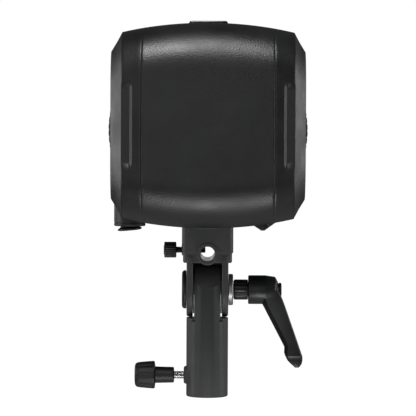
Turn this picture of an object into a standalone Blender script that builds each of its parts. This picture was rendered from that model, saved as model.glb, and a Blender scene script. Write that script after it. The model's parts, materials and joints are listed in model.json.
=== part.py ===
"""Monolight strobe with its front cap on, on a tilt bracket with a light-stand receiver.

Metres, +Z up. The origin is the centre of the stand socket's mouth. The lamp fires along -Y, and +X is
to the right of someone who faces the cap.
"""

import math

import bmesh
import bpy
from mathutils import Matrix

# Clearances
GAP = 0.0003

# Stand receiver
TUBE_RADIUS = 0.0178
SOCKET_RADIUS = 0.0081
SOCKET_DEPTH = 0.052
TUBE_LIP = 0.0022
SCOOP_TOP = 0.0995
SHOULDER_Z = 0.0673
LOCK_Z = 0.0181
LOCK_SCREW_RADIUS = 0.0033

# Tilt joint
PIVOT_Y = 0.0068
PIVOT_Z = 0.0909
TONGUE_HALF = 0.0112
TONGUE_RADIUS = 0.0221
ARM_INNER = 0.01245
ARM_OUTER = 0.0178
LUG_RADIUS = 0.0233
BOLT_RADIUS = 0.0045

# Bracket block and its umbrella bore
BLOCK_HALF = 0.02175
BLOCK_FRONT = -0.028
BLOCK_BACK = 0.042
BLOCK_BOTTOM = 0.1153
BLOCK_TOP = 0.1516
UMBRELLA_Z = 0.123
UMBRELLA_RADIUS = 0.00615
SLEEVE_WALL = 0.0014
BOSS_RADIUS = 0.0095
MOUNT_SCREW_Y = (-0.019, 0.033)
THUMB_Y = -0.012
THUMB_Z = 0.1258
THUMB_SCREW_RADIUS = 0.00265

# Head
AXIS_Z = 0.2274
CAP_CENTRE_Z = 0.2311
CAP_FRONT = -0.130
CAP_REAR = -0.0879
CAP_HALF = 0.0797
CAP_WALL = 0.0024
CORNER_X = 0.0702
CORNER_Z = 0.0761
SIDE_CORNER_Z = 0.0606
APEX_Z = 0.0838
ROLL_RADIUS = 0.036
PANEL_X = 0.0532
STRIP_X = 0.0698
GRIP_X = 0.0611
GRIP_HALF = 0.0332
GRIP_FLOOR = -0.1252
RING_RADIUS = 0.0816
RING_BORE = 0.0672
RING_FRONT = -0.0858
RING_REAR = -0.0716
TAB_REACH = 0.0942
TAB_WIDTH = 0.0286
TAB_ANGLE = math.radians(37)
HUB_OUTER = 0.0634
HUB_INNER = 0.0602
FRAME_REAR = -0.058
SHELL_FRONT = FRAME_REAR + GAP
SHELL_TAPER = 0.088
SHELL_REAR = 0.113
SHELL_INSET = 0.0052
SHELL_WALL = 0.003
TAPER_INSET = 0.0088
PANEL_REAR = 0.1175
PANEL_SCREW_X = (-0.0605, 0.0605)
PANEL_SCREW_Z = (0.174, 0.287)

# Release plunger
PLUNGER_X = -0.0643
PLUNGER_Y = -0.0725
BOSS_BOTTOM_Z = 0.1482
PIN_RADIUS = 0.0025

SEGMENTS = 24
SMOOTH_ANGLE = math.radians(35)
FLAT_ANGLE = 1e-4
TINY = 1e-7

AXIS_TURN = {
    "X": Matrix.Rotation(math.pi / 2, 4, "Y"),
    "Y": Matrix.Rotation(-math.pi / 2, 4, "X"),
    "Z": Matrix.Identity(4),
}


def clear_scene():
    for obj in list(bpy.data.objects):
        bpy.data.objects.remove(obj, do_unlink=True)


def material(name, color, roughness, metallic=0.0, alpha=1.0):
    made = bpy.data.materials.new(name)
    made.use_nodes = True
    shader = made.node_tree.nodes["Principled BSDF"]
    shader.inputs["Base Color"].default_value = (*color, 1.0)
    shader.inputs["Roughness"].default_value = roughness
    shader.inputs["Metallic"].default_value = metallic
    shader.inputs["Alpha"].default_value = alpha
    return made


def black_plastic(name):
    return material(name, (0.028, 0.029, 0.030), 0.45)


def steel(name):
    return material(name, (0.55, 0.55, 0.56), 0.3, 1.0)


def finish_object(name, mesh_builder, surface, pivot=(0, 0, 0), smooth=True):
    """Turn a bmesh into a named object whose origin is at pivot."""
    bmesh.ops.connect_verts_nonplanar(mesh_builder, angle_limit=FLAT_ANGLE, faces=mesh_builder.faces)
    bmesh.ops.recalc_face_normals(mesh_builder, faces=mesh_builder.faces)
    bmesh.ops.transform(mesh_builder, matrix=Matrix.Translation([-c for c in pivot]), verts=mesh_builder.verts)
    mesh = bpy.data.meshes.new(name)
    mesh_builder.to_mesh(mesh)
    mesh_builder.free()
    if surface:
        mesh.materials.append(surface)
    if smooth:
        mesh.shade_smooth()
        mesh.set_sharp_from_angle(angle=SMOOTH_ANGLE)
    obj = bpy.data.objects.new(name, mesh)
    obj.location = pivot
    bpy.context.scene.collection.objects.link(obj)
    return obj


def join_loops(builder, loops, closed):
    """Bridge loops of vertices; a loop of one vertex is a pole."""
    pairs = list(zip(loops, loops[1:]))
    if closed:
        pairs.append((loops[-1], loops[0]))
    for first, second in pairs:
        count = max(len(first), len(second))
        for k in range(count):
            corners = [
                first[k % len(first)],
                first[(k + 1) % len(first)],
                second[(k + 1) % len(second)],
                second[k % len(second)],
            ]
            unique = list(dict.fromkeys(corners))
            if len(unique) > 2:
                builder.faces.new(unique)


def turned(name, profile, surface, axis="Z", centre=(0, 0, 0), segments=SEGMENTS, pivot=None):
    """Turn (along, radius) points about an axis through centre; off-axis profiles close into rings."""
    builder = bmesh.new()
    loops = []
    for along, radius in profile:
        if radius < TINY:
            loops.append([builder.verts.new((0, 0, along))])
            continue
        angles = [2 * math.pi * k / segments for k in range(segments)]
        loops.append([builder.verts.new((radius * math.cos(a), radius * math.sin(a), along)) for a in angles])
    join_loops(builder, loops, closed=profile[0][1] > TINY and profile[-1][1] > TINY)
    place = Matrix.Translation(centre) @ AXIS_TURN[axis]
    bmesh.ops.transform(builder, matrix=place, verts=builder.verts)
    return finish_object(name, builder, surface, pivot or centre)


def rod(name, radius, low, high, surface, axis="Z", centre=(0, 0, 0), segments=SEGMENTS, pivot=None):
    profile = [(low, 0), (low, radius), (high, radius), (high, 0)]
    return turned(name, profile, surface, axis, centre, segments, pivot)


def chamfered_rod(radius, low, high, chamfer):
    """Profile of a solid disc with a chamfer at both ends."""
    return [
        (low, 0),
        (low, radius - chamfer),
        (low + chamfer, radius),
        (high - chamfer, radius),
        (high, radius - chamfer),
        (high, 0),
    ]


def to_world(axis, first, second, along):
    """A point of an outline across an axis: (y, z) for X, (x, z) for Y, (x, y) for Z."""
    if axis == "X":
        return along, first, second
    if axis == "Y":
        return first, along, second
    return first, second, along


def loft(name, sections, surface, axis="Y", pivot=(0, 0, 0), smooth=True):
    """Solid through outlines of equal point counts; sections are (along, outline)."""
    builder = bmesh.new()
    loops = []
    for along, outline in sections:
        loops.append([builder.verts.new(to_world(axis, u, v, along)) for u, v in outline])
    join_loops(builder, loops, closed=False)
    builder.faces.new(loops[0])
    builder.faces.new(loops[-1])
    return finish_object(name, builder, surface, pivot, smooth)


def prism(name, outline, low, high, surface, axis="Y", pivot=(0, 0, 0), smooth=True):
    return loft(name, [(low, outline), (high, outline)], surface, axis, pivot, smooth)


def box(name, x, y, z, surface, bevel=0.0, pivot=(0, 0, 0)):
    """Box between (low, high) pairs, with its edges bevelled."""
    outline = [(x[0], z[0]), (x[1], z[0]), (x[1], z[1]), (x[0], z[1])]
    obj = prism(name, outline, y[0], y[1], surface, "Y", pivot, smooth=False)
    if bevel:
        add_bevel(obj, bevel)
    return obj


def add_bevel(obj, width, segments=1, angle=math.radians(35)):
    bevel = obj.modifiers.new("edge", "BEVEL")
    bevel.width = width
    bevel.segments = segments
    bevel.limit_method = "ANGLE"
    bevel.angle_limit = angle


def combine(target, other, operation):
    """Boolean with a hidden cutter or partner."""
    other.hide_render = True
    other.display_type = "WIRE"
    step = target.modifiers.new(operation.lower(), "BOOLEAN")
    step.operation = operation
    step.solver = "EXACT"
    step.object = other


def cut(target, *cutters):
    for cutter in cutters:
        combine(target, cutter, "DIFFERENCE")


def weld_on(target, *partners):
    for partner in partners:
        combine(target, partner, "UNION")


def arc(centre, radius, start, end, steps):
    """Points on a circle from start to end, in radians, both ends included."""
    angles = [start + (end - start) * k / steps for k in range(steps + 1)]
    return [(centre[0] + radius * math.cos(a), centre[1] + radius * math.sin(a)) for a in angles]


def rounded_rectangle(u, v, radius, steps=4):
    """Outline between (low, high) pairs with round corners."""
    corners = [
        (u[1] - radius, v[1] - radius, 0),
        (u[0] + radius, v[1] - radius, 1),
        (u[0] + radius, v[0] + radius, 2),
        (u[1] - radius, v[0] + radius, 3),
    ]
    outline = []
    for cu, cv, quarter in corners:
        outline += arc((cu, cv), radius, quarter * math.pi / 2, (quarter + 1) * math.pi / 2, steps)
    return outline


def head_outline(inset=0.0, steps=8):
    """The head's cross-section: flat sides, chamfered corners and bowed top and bottom."""
    corner_x = CORNER_X - inset * 0.7
    corner_z = CORNER_Z - inset * 0.9
    apex = APEX_Z - inset
    rise = apex - corner_z
    radius = (corner_x**2 + rise**2) / (2 * rise)
    half_angle = math.asin(corner_x / radius)
    centre_up = CAP_CENTRE_Z + apex - radius
    centre_down = CAP_CENTRE_Z - apex + radius
    side = CAP_HALF - inset
    side_z = SIDE_CORNER_Z - inset * 0.5
    top = arc((0, centre_up), radius, math.pi / 2 - half_angle, math.pi / 2 + half_angle, steps)
    bottom = arc((0, centre_down), radius, -math.pi / 2 - half_angle, -math.pi / 2 + half_angle, steps)
    left = [(-side, CAP_CENTRE_Z + side_z), (-side, CAP_CENTRE_Z - side_z)]
    right = [(side, CAP_CENTRE_Z - side_z), (side, CAP_CENTRE_Z + side_z)]
    return top + left + bottom + right


def gear_outline(centre, inner, outer, teeth, share=0.5):
    """Ribbed circle: teeth with flat tops."""
    outline = []
    step = 2 * math.pi / teeth
    for k in range(teeth):
        for offset, radius in ((0, outer), (share, outer), (share + 0.12, inner), (0.88, inner)):
            angle = (k + offset) * step
            outline.append((centre[0] + radius * math.cos(angle), centre[1] + radius * math.sin(angle)))
    return outline


# Stand receiver -------------------------------------------------------------------------------


def receiver_casting():
    surface = material("cast_black", (0.036, 0.037, 0.038), 0.5)
    tube_profile = [(SOCKET_DEPTH, 0), (SOCKET_DEPTH, SOCKET_RADIUS), (0.001, SOCKET_RADIUS)]
    tube_profile += [(0, SOCKET_RADIUS + 0.001), (0, TUBE_RADIUS - TUBE_LIP)]
    tube_profile += [(TUBE_LIP * 0.3, TUBE_RADIUS - TUBE_LIP * 0.3), (TUBE_LIP, TUBE_RADIUS)]
    tube_profile += [(SCOOP_TOP, TUBE_RADIUS), (SCOOP_TOP, 0)]
    casting = turned("receiver_casting", tube_profile, surface, segments=32)
    scoop = [(-0.0200, 0.0898), (-0.0100, 0.1045), (-0.0300, 0.1045)]
    cut(casting, prism("front_scoop", scoop, -0.02, 0.02, None, "X"))
    side_cuts = []
    for side in (-1, 1):
        x = sorted((side * TONGUE_HALF, side * 0.03))
        side_cuts.append(box("cut_side", x, (-0.03, 0.03), (SHOULDER_Z, 0.12), None))
    cut(casting, *side_cuts)
    outline = arc((PIVOT_Y, PIVOT_Z), TONGUE_RADIUS, -math.pi, math.pi, 28)[:-1]
    weld_on(casting, prism("tongue_disc", outline, -TONGUE_HALF, TONGUE_HALF, None, "X"))
    boss = rod("lock_boss", 0.00765, -0.020, -0.0145, None, "X", (0, 0, LOCK_Z), 32)
    weld_on(casting, boss)
    hole = rod("lock_hole", LOCK_SCREW_RADIUS + GAP, -0.03, -0.004, None, "X", (0, 0, LOCK_Z), 24)
    bolt_hole = rod("tilt_hole", BOLT_RADIUS + GAP, -0.02, 0.02, None, "X", (0, PIVOT_Y, PIVOT_Z), 32)
    cut(casting, hole, bolt_hole)


def receiver_lock():
    place = (0, 0, LOCK_Z)
    screw = [
        (-0.0500, 0),
        (-0.0500, 0.0022),
        (-0.0278, 0.0022),
        (-0.0278, LOCK_SCREW_RADIUS),
        (-0.0094, LOCK_SCREW_RADIUS),
        (-0.0084, 0.0023),
        (-0.0084, 0),
    ]
    turned("receiver_lock_screw", screw, steel("screw_steel"), "X", place, 20)
    surface = material("knob_black", (0.018, 0.018, 0.019), 0.55)
    knob = [
        (-0.0619, 0),
        (-0.0619, 0.0085),
        (-0.0608, 0.0101),
        (-0.0589, 0.0110),
        (-0.0480, 0.0121),
        (-0.0456, 0.0119),
        (-0.0447, 0.0108),
        (-0.0443, 0.00705),
        (-0.0282, 0.00665),
        (-0.0282, 0.0026),
        (-0.0503, 0.0026),
        (-0.0503, 0),
    ]
    obj = turned("receiver_knob", knob, surface, "X", place, 24)
    flutes = []
    for k in range(12):
        angle = 2 * math.pi * k / 12
        centre = (0, 0.0135 * math.cos(angle), LOCK_Z + 0.0135 * math.sin(angle))
        flutes.append(rod("flute", 0.0022, -0.0640, -0.0452, None, "X", centre, 8))
    cut(obj, *flutes)


# Tilt bracket ---------------------------------------------------------------------------------


def bracket_block():
    surface = material("cast_black", (0.034, 0.035, 0.036), 0.5)
    outline = rounded_rectangle((-BLOCK_HALF, BLOCK_HALF), (BLOCK_FRONT, BLOCK_BACK), 0.0042)
    low = rounded_rectangle((-0.0207, 0.0207), (BLOCK_FRONT + 0.0012, BLOCK_BACK - 0.0012), 0.004)
    sections = [(BLOCK_BOTTOM, low), (UMBRELLA_Z + 0.001, outline), (BLOCK_TOP, outline)]
    block = loft("bracket_block", sections, surface, "Z")
    for side in (-1, 1):
        lug = arc((PIVOT_Y, PIVOT_Z), LUG_RADIUS, math.pi, 2 * math.pi, 16)
        lug += [(PIVOT_Y + LUG_RADIUS, BLOCK_BOTTOM + 0.003), (PIVOT_Y - LUG_RADIUS, BLOCK_BOTTOM + 0.003)]
        x = sorted((side * ARM_INNER, side * ARM_OUTER))
        weld_on(block, prism("clevis_arm", lug, x[0], x[1], None, "X"))
    saddle = arc((PIVOT_Y, PIVOT_Z), TONGUE_RADIUS + GAP, math.radians(57.6), math.radians(102.9), 8)
    top = BLOCK_BOTTOM + 0.003
    saddle += [(saddle[-1][0], top), (saddle[0][0], top)]
    reach = ARM_INNER + 0.0005
    weld_on(block, prism("saddle", saddle, -reach, reach, None, "X"))
    ends = (BLOCK_FRONT - 0.0008, BLOCK_BACK + 0.0008)
    weld_on(block, rod("umbrella_boss", BOSS_RADIUS, *ends, None, "Y", (0, 0, UMBRELLA_Z)))
    sleeve_hole = UMBRELLA_RADIUS + SLEEVE_WALL + GAP
    bore = rod("umbrella_hole", sleeve_hole, -0.04, 0.05, None, "Y", (0, 0, UMBRELLA_Z))
    bolt = rod("bolt_hole", BOLT_RADIUS + GAP, -0.03, 0.03, None, "X", (0, PIVOT_Y, PIVOT_Z), 32)
    thumb = rod("thumb_hole", THUMB_SCREW_RADIUS + GAP, -0.03, -0.004, None, "X", (0, THUMB_Y, THUMB_Z), 24)
    cut(block, bolt, thumb)
    for y in MOUNT_SCREW_Y:
        cut(block, rod("mount_hole", 0.0027, 0.138, 0.156, None, "Z", (0, y, 0), 12))
    cut(block, bore)


def umbrella_parts():
    place = (0, 0, UMBRELLA_Z)
    wall = UMBRELLA_RADIUS + SLEEVE_WALL
    front = BLOCK_FRONT + 0.0004
    back = BLOCK_BACK - 0.0004
    profile = [(front, UMBRELLA_RADIUS), (front, wall), (back, wall), (back, UMBRELLA_RADIUS)]
    sleeve = turned("umbrella_sleeve", profile, steel("bare_metal"), "Y", place)
    hole = rod("sleeve_hole", THUMB_SCREW_RADIUS + GAP, -0.03, -0.001, None, "X", (0, THUMB_Y, THUMB_Z), 16)
    cut(sleeve, hole)
    seat = (0, THUMB_Y, THUMB_Z)
    screw = [
        (-0.0330, 0),
        (-0.0330, 0.0019),
        (-0.0262, 0.0019),
        (-0.0262, THUMB_SCREW_RADIUS),
        (-0.0024, THUMB_SCREW_RADIUS),
        (-0.0018, 0.0021),
        (-0.0018, 0),
    ]
    turned("umbrella_lock_screw", screw, material("black_steel", (0.03, 0.03, 0.03), 0.4, 0.6), "X", seat, 16)
    knob = black_plastic("thumb_knob")
    outline = gear_outline((THUMB_Y, THUMB_Z), 0.0062, 0.0067, 14)
    obj = prism("umbrella_knob", outline, -0.0372, -0.0265, knob, "X", seat)
    cut(obj, rod("knob_socket", 0.0022, -0.0334, -0.02, None, "X", seat, 16))


def pivot_hardware():
    place = (0, PIVOT_Y, PIVOT_Z)
    bolt = [
        (-0.0205, 0),
        (-0.0205, 0.0036),
        (-0.0185, 0.0036),
        (-0.0185, BOLT_RADIUS),
        (0.0330, BOLT_RADIUS),
        (0.0330, 0),
    ]
    turned("pivot_bolt", bolt, steel("bolt_steel"), "X", place, 16)
    disc = [
        (-0.0218, 0),
        (-0.0218, 0.0149),
        (-0.0203, 0.0164),
        (-ARM_OUTER - GAP, 0.0164),
        (-ARM_OUTER - GAP, BOLT_RADIUS + GAP),
        (-0.0208, BOLT_RADIUS + GAP),
        (-0.0208, 0),
    ]
    turned("pivot_disc", disc, black_plastic("disc_black"), "X", place, 28)
    for side, label in ((-1, "left"), (1, "right")):
        low, high = sorted((side * (TONGUE_HALF + GAP), side * (ARM_INNER - GAP)))
        washer = [(low, BOLT_RADIUS + GAP), (low, 0.0185), (high, 0.0185), (high, BOLT_RADIUS + GAP)]
        turned("friction_washer_" + label, washer, steel("washer_steel"), "X", place, 20)
    low = ARM_OUTER + GAP
    washer = [
        (low, BOLT_RADIUS + GAP),
        (low, 0.0134),
        (0.0211, 0.0134),
        (0.0220, 0.0125),
        (0.0220, BOLT_RADIUS + GAP),
    ]
    turned("pivot_washer", washer, steel("polished_steel"), "X", place, 28)


def clamp_lever():
    place = (0, PIVOT_Y, PIVOT_Z)
    surface = black_plastic("collar_black")
    outline = gear_outline((PIVOT_Y, PIVOT_Z), 0.0080, 0.0087, 12)
    collar = prism("lever_insert", outline, 0.0223, 0.0346, surface, "X", place)
    nose = rod("insert_nose", 0.0058, 0.034, 0.0440, None, "X", place, 20)
    weld_on(collar, nose)
    cut(collar, rod("insert_bore", BOLT_RADIUS + GAP, 0.02, 0.0335, None, "X", place, 20))
    cut(collar, rod("insert_thread", 0.0027, 0.0390, 0.0500, None, "X", place, 16))
    hub = [
        (0.0349, 0),
        (0.0349, 0.0118),
        (0.0356, 0.01235),
        (0.0498, 0.01235),
        (0.0578, 0.0111),
        (0.0596, 0.0078),
        (0.0603, 0.0072),
        (0.0603, 0),
    ]
    lever = turned("lever_handle", hub, black_plastic("lever_black"), "X", place, 28)
    arm = [
        (0.0450, -0.0075),
        (0.0472, -0.0125),
        (0.0662, -0.0490),
        (0.0661, -0.0542),
        (0.0685, -0.0600),
        (0.0712, -0.0629),
        (0.0756, -0.0665),
        (0.0792, -0.0662),
        (0.0809, -0.0640),
        (0.0817, -0.0600),
        (0.0815, -0.0564),
        (0.0635, -0.0049),
        (0.0600, -0.0020),
        (0.0570, -0.0062),
        (0.0520, -0.0080),
    ]
    world = [(x, PIVOT_Z + z) for x, z in arm]
    blade = prism("lever_arm", world, PIVOT_Y - 0.0062, PIVOT_Y + 0.0062, None, "Y")
    add_bevel(blade, 0.0016)
    weld_on(lever, blade)
    cut(lever, rod("insert_clearance", 0.0062, 0.0300, 0.0446, None, "X", place, 24))
    cut(lever, rod("screw_clearance", 0.0030, 0.0400, 0.0480, None, "X", place, 20))
    cut(lever, rod("spring_chamber", 0.0047, 0.0462, 0.0700, None, "X", place, 24))
    cut(lever, rod("cap_seat", 0.0063, 0.0603, 0.0700, None, "X", place, 32))
    spring_helix("lever_spring", "X", place, 0.0037, 0.0004, 0.0470, 0.0488, 2)
    screw = [(0.0400, 0), (0.0400, 0.0024), (0.0540, 0.0024), (0.0540, 0.0042), (0.0566, 0.0042), (0.0566, 0)]
    turned("lever_screw", screw, steel("screw_steel"), "X", place, 20)
    button = [
        (0.0595, 0),
        (0.0595, 0.0044),
        (0.0606, 0.0044),
        (0.0606, 0.0058),
        (0.0628, 0.0060),
        (0.0635, 0.0052),
        (0.0635, 0),
    ]
    turned("lever_cap", button, material("button_black", (0.03, 0.03, 0.031), 0.35), "X", place, 32)


def spring_helix(name, axis, centre, radius, wire, low, high, turns):
    """Coil spring of round wire about an axis."""
    steps = turns * 12
    curve = bpy.data.curves.new(name, "CURVE")
    curve.dimensions = "3D"
    curve.bevel_depth = wire
    curve.bevel_resolution = 0
    curve.use_fill_caps = True
    curve.resolution_u = 1
    spline = curve.splines.new("POLY")
    spline.points.add(steps)
    for k, point in enumerate(spline.points):
        angle = 2 * math.pi * turns * k / steps
        along = low + (high - low) * k / steps
        local = AXIS_TURN[axis] @ Matrix.Translation((radius * math.cos(angle), radius * math.sin(angle), along))
        point.co = (*local.translation, 1.0)
    curve.materials.append(steel("spring_steel"))
    obj = bpy.data.objects.new(name, curve)
    obj.location = centre
    bpy.context.scene.collection.objects.link(obj)
    return obj


# Head shells ----------------------------------------------------------------------------------


def front_cap():
    """Moulded cap: bowed front rolled back at top and bottom, sloped side strips and bevels."""
    surface = material("cap_black", (0.026, 0.027, 0.028), 0.5)
    shell = cap_solid("front_cap", 0.0, surface)
    hollow = cap_solid("cap_hollow", CAP_WALL, None)
    cut(shell, hollow)
    flange_front = CAP_REAR - 0.0024
    collar = [
        (flange_front, 0.0641),
        (flange_front, CAP_HALF - 0.0012),
        (CAP_REAR - GAP, CAP_HALF - 0.0012),
        (CAP_REAR - GAP, 0.0666),
        (-0.0780, 0.0666),
        (-0.0770, 0.0656),
        (-0.0770, 0.0641),
    ]
    weld_on(shell, turned("cap_collar", collar, None, "Y", (0, 0, AXIS_Z), 40))
    for side in (-1, 1):
        x = sorted((side * GRIP_X, side * (CAP_HALF + 0.001)))
        height = (CAP_CENTRE_Z - GRIP_HALF, CAP_CENTRE_Z + GRIP_HALF)
        recess = box("grip_cut", x, (CAP_FRONT - 0.010, GRIP_FLOOR), height, None)
        floor = sorted((side * (GRIP_X - 0.0019), side * (STRIP_X + 0.0016)))
        height = (CAP_CENTRE_Z - GRIP_HALF - 0.0028, CAP_CENTRE_Z + GRIP_HALF + 0.0028)
        backing = box("grip_back", floor, (GRIP_FLOOR, GRIP_FLOOR + CAP_WALL), height, None)
        weld_on(shell, backing)
        cut(shell, recess)


def cap_solid(name, inset, surface):
    """The cap's outer form, or with an inset the form of its hollow."""
    reach = CAP_REAR + (0.01 if inset else 0)
    solid = prism(name, head_outline(inset), CAP_FRONT - 0.002, reach, surface, "Y")
    half = APEX_Z - inset
    front = CAP_FRONT + inset
    radius = ROLL_RADIUS - inset
    top = arc((front + radius, CAP_CENTRE_Z + half - radius), radius, math.pi, math.pi / 2, 7)
    bottom = arc((front + radius, CAP_CENTRE_Z - half + radius), radius, -math.pi / 2, -math.pi, 7)
    back = reach + 0.01
    roll = top + [(back, CAP_CENTRE_Z + half), (back, CAP_CENTRE_Z - half)] + bottom
    combine(solid, prism(name + "_roll", roll, -0.1, 0.1, None, "X"), "INTERSECT")
    side = CAP_HALF - inset + 0.001
    plan = [
        (-side, back),
        (-side, -0.1000),
        (-STRIP_X + inset * 0.6, CAP_FRONT + 0.0040 + inset),
        (-PANEL_X + inset * 0.3, front),
        (PANEL_X - inset * 0.3, front),
        (STRIP_X - inset * 0.6, CAP_FRONT + 0.0040 + inset),
        (side, -0.1000),
        (side, back),
    ]
    combine(solid, prism(name + "_plan", plan, 0.1, 0.35, None, "Z"), "INTERSECT")
    return solid


def mount_frame():
    """Front frame: plate, bayonet hub and the release pin's boss."""
    surface = black_plastic("frame_black")
    plate_front = RING_REAR + GAP
    frame = prism("mount_frame", head_outline(SHELL_INSET), plate_front, FRAME_REAR, surface, "Y")
    hub = [(-0.0835, HUB_INNER), (-0.0835, HUB_OUTER), (-0.0600, HUB_OUTER), (-0.0600, HUB_INNER)]
    weld_on(frame, turned("hub", hub, None, "Y", (0, 0, AXIS_Z), 40))
    opening = rod("hub_opening", HUB_INNER, -0.09, -0.05, None, "Y", (0, 0, AXIS_Z), 40)
    cut(frame, opening)
    seat = (PLUNGER_X, PLUNGER_Y, 0)
    boss = turned("pin_boss", chamfered_rod(0.01295, BOSS_BOTTOM_Z, 0.1715, 0.0006), None, "Z", seat)
    weld_on(frame, boss)
    ring_back = RING_REAR + GAP / 2
    clearance = [(-0.0875, 0.0650), (-0.0875, 0.0821), (ring_back, 0.0821), (ring_back, 0.0650)]
    cut(frame, turned("ring_clearance", clearance, None, "Y", (0, 0, AXIS_Z), 40))
    cut(frame, rod("neck_bore", 0.0079, 0.14, 0.1545, None, "Z", seat, 32))
    cut(frame, rod("web_bore", PIN_RADIUS + GAP, 0.15, 0.1600, None, "Z", seat, 20))
    cut(frame, rod("spring_bore", 0.0048, 0.1560, 0.1850, None, "Z", seat, 24))


def lock_ring():
    surface = black_plastic("ring_black")
    profile = [
        (RING_FRONT, RING_BORE),
        (RING_FRONT, RING_RADIUS - 0.001),
        (RING_FRONT + 0.001, RING_RADIUS),
        (RING_REAR - 0.001, RING_RADIUS),
        (RING_REAR, RING_RADIUS - 0.001),
        (RING_REAR, RING_BORE),
    ]
    ring = turned("lock_ring", profile, surface, "Y", (0, 0, AXIS_Z), 48)
    half = TAB_WIDTH / 2
    corner = 0.004
    outline = [(-half - 0.006, -0.0760)]
    outline += arc((-half + corner, -TAB_REACH + corner), corner, math.pi, 1.5 * math.pi, 3)
    outline += arc((half - corner, -TAB_REACH + corner), corner, -math.pi / 2, 0, 3)
    outline.append((half + 0.006, -0.0760))
    cos, sin = math.cos(TAB_ANGLE), math.sin(TAB_ANGLE)
    world = [(x * cos - z * sin, AXIS_Z + x * sin + z * cos) for x, z in outline]
    weld_on(ring, prism("thumb_tab", world, RING_FRONT + 0.0015, RING_REAR - 0.0015, None, "Y"))
    pin_angle = math.asin(-PLUNGER_X / RING_RADIUS)
    notch = []
    for radius, reverse in ((RING_RADIUS - 0.005, False), (RING_RADIUS + 0.01, True)):
        low = -math.pi / 2 - pin_angle - math.radians(18.6)
        stretch = arc((0, AXIS_Z), radius, low, low + math.radians(22.4), 8)
        notch += reversed(stretch) if reverse else stretch
    slot = prism("pin_slot", notch, PLUNGER_Y - 0.0034, PLUNGER_Y + 0.0034, None, "Y")
    cut(ring, slot)


def release_plunger():
    seat = (PLUNGER_X, PLUNGER_Y, 0)
    profile = [
        (0.1436, 0),
        (0.1436, 0.0090),
        (0.1442, 0.00995),
        (0.1454, 0.00995),
        (0.1459, 0.0092),
        (0.1459, 0.0076),
        (0.1535, 0.0076),
        (0.1535, PIN_RADIUS),
        (0.1645, PIN_RADIUS),
        (0.1645, 0.0044),
        (0.1660, 0.0044),
        (0.1660, PIN_RADIUS),
        (0.1780, PIN_RADIUS),
        (0.1790, PIN_RADIUS - 0.001),
        (0.1790, 0),
    ]
    turned("release_plunger", profile, black_plastic("plunger_black"), "Z", seat, 16)
    spring_helix("plunger_spring", "Z", seat, 0.0037, 0.0004, 0.1568, 0.1586, 2)


def sensor_window():
    """Domed window for the slave cell and the remote's receiver."""
    surface = material("window_black", (0.008, 0.008, 0.009), 0.12)
    top = 0.3182
    outline = [(-0.0162, 0.3124), (0.0162, 0.3124), (0.0162, top - 0.0025)]
    outline += [(0.0137, top), (-0.0137, top), (-0.0162, top - 0.0025)]
    window = prism("slave_sensor_window", outline, -0.055, -0.029, surface, "Y")
    add_bevel(window, 0.0007)


def shell_solid(name, inset, surface, low=SHELL_FRONT, high=SHELL_REAR):
    outline = head_outline(SHELL_INSET + inset)
    narrow = head_outline(SHELL_INSET + inset + TAPER_INSET)
    sections = [(low, outline), (SHELL_TAPER, outline), (high, narrow)]
    return loft(name, sections, surface, "Y")


def housing_shell(name, upper):
    surface = black_plastic("housing_black")
    shell = shell_solid(name, 0.0, surface)
    cut(shell, shell_solid("hollow", SHELL_WALL, None, SHELL_FRONT - 0.01, SHELL_REAR + 0.01))
    z = (0.1, AXIS_Z + GAP / 2) if upper else (AXIS_Z - GAP / 2, 0.4)
    cut(shell, box("half", (-0.1, 0.1), (-0.09, 0.15), z, None))
    for side in (-1, 1):
        x = sorted((side * 0.060, side * 0.090))
        for k in range(6):
            y = -0.030 + 0.0125 * k
            height = (0.252, 0.276) if upper else (0.186, 0.210)
            cut(shell, box("vent", x, (y, y + 0.004), height, None))
    return shell


def housings():
    upper = housing_shell("housing_upper", True)
    saddle = box("window_seat", (-0.0172, 0.0172), (-0.0563, -0.0280), (0.3065, 0.3121), None)
    weld_on(upper, saddle)
    lower = housing_shell("housing_lower", False)
    pad = box("bracket_pad", (-0.026, 0.026), (-0.036, 0.050), (BLOCK_TOP + GAP, 0.1575), None)
    weld_on(lower, pad)
    for y in MOUNT_SCREW_Y:
        cut(lower, rod("floor_hole", 0.0027, 0.148, 0.162, None, "Z", (0, y, 0), 12))
        head = [(0.1395, 0), (0.1395, 0.0024), (0.1578, 0.0024), (0.1578, 0.0045), (0.1610, 0.0045), (0.1610, 0)]
        label = "front" if y < 0 else "rear"
        turned("bracket_screw_" + label, head, steel("screw_steel"), "Z", (0, y, 0), 12)


# Lamp -----------------------------------------------------------------------------------------


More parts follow.
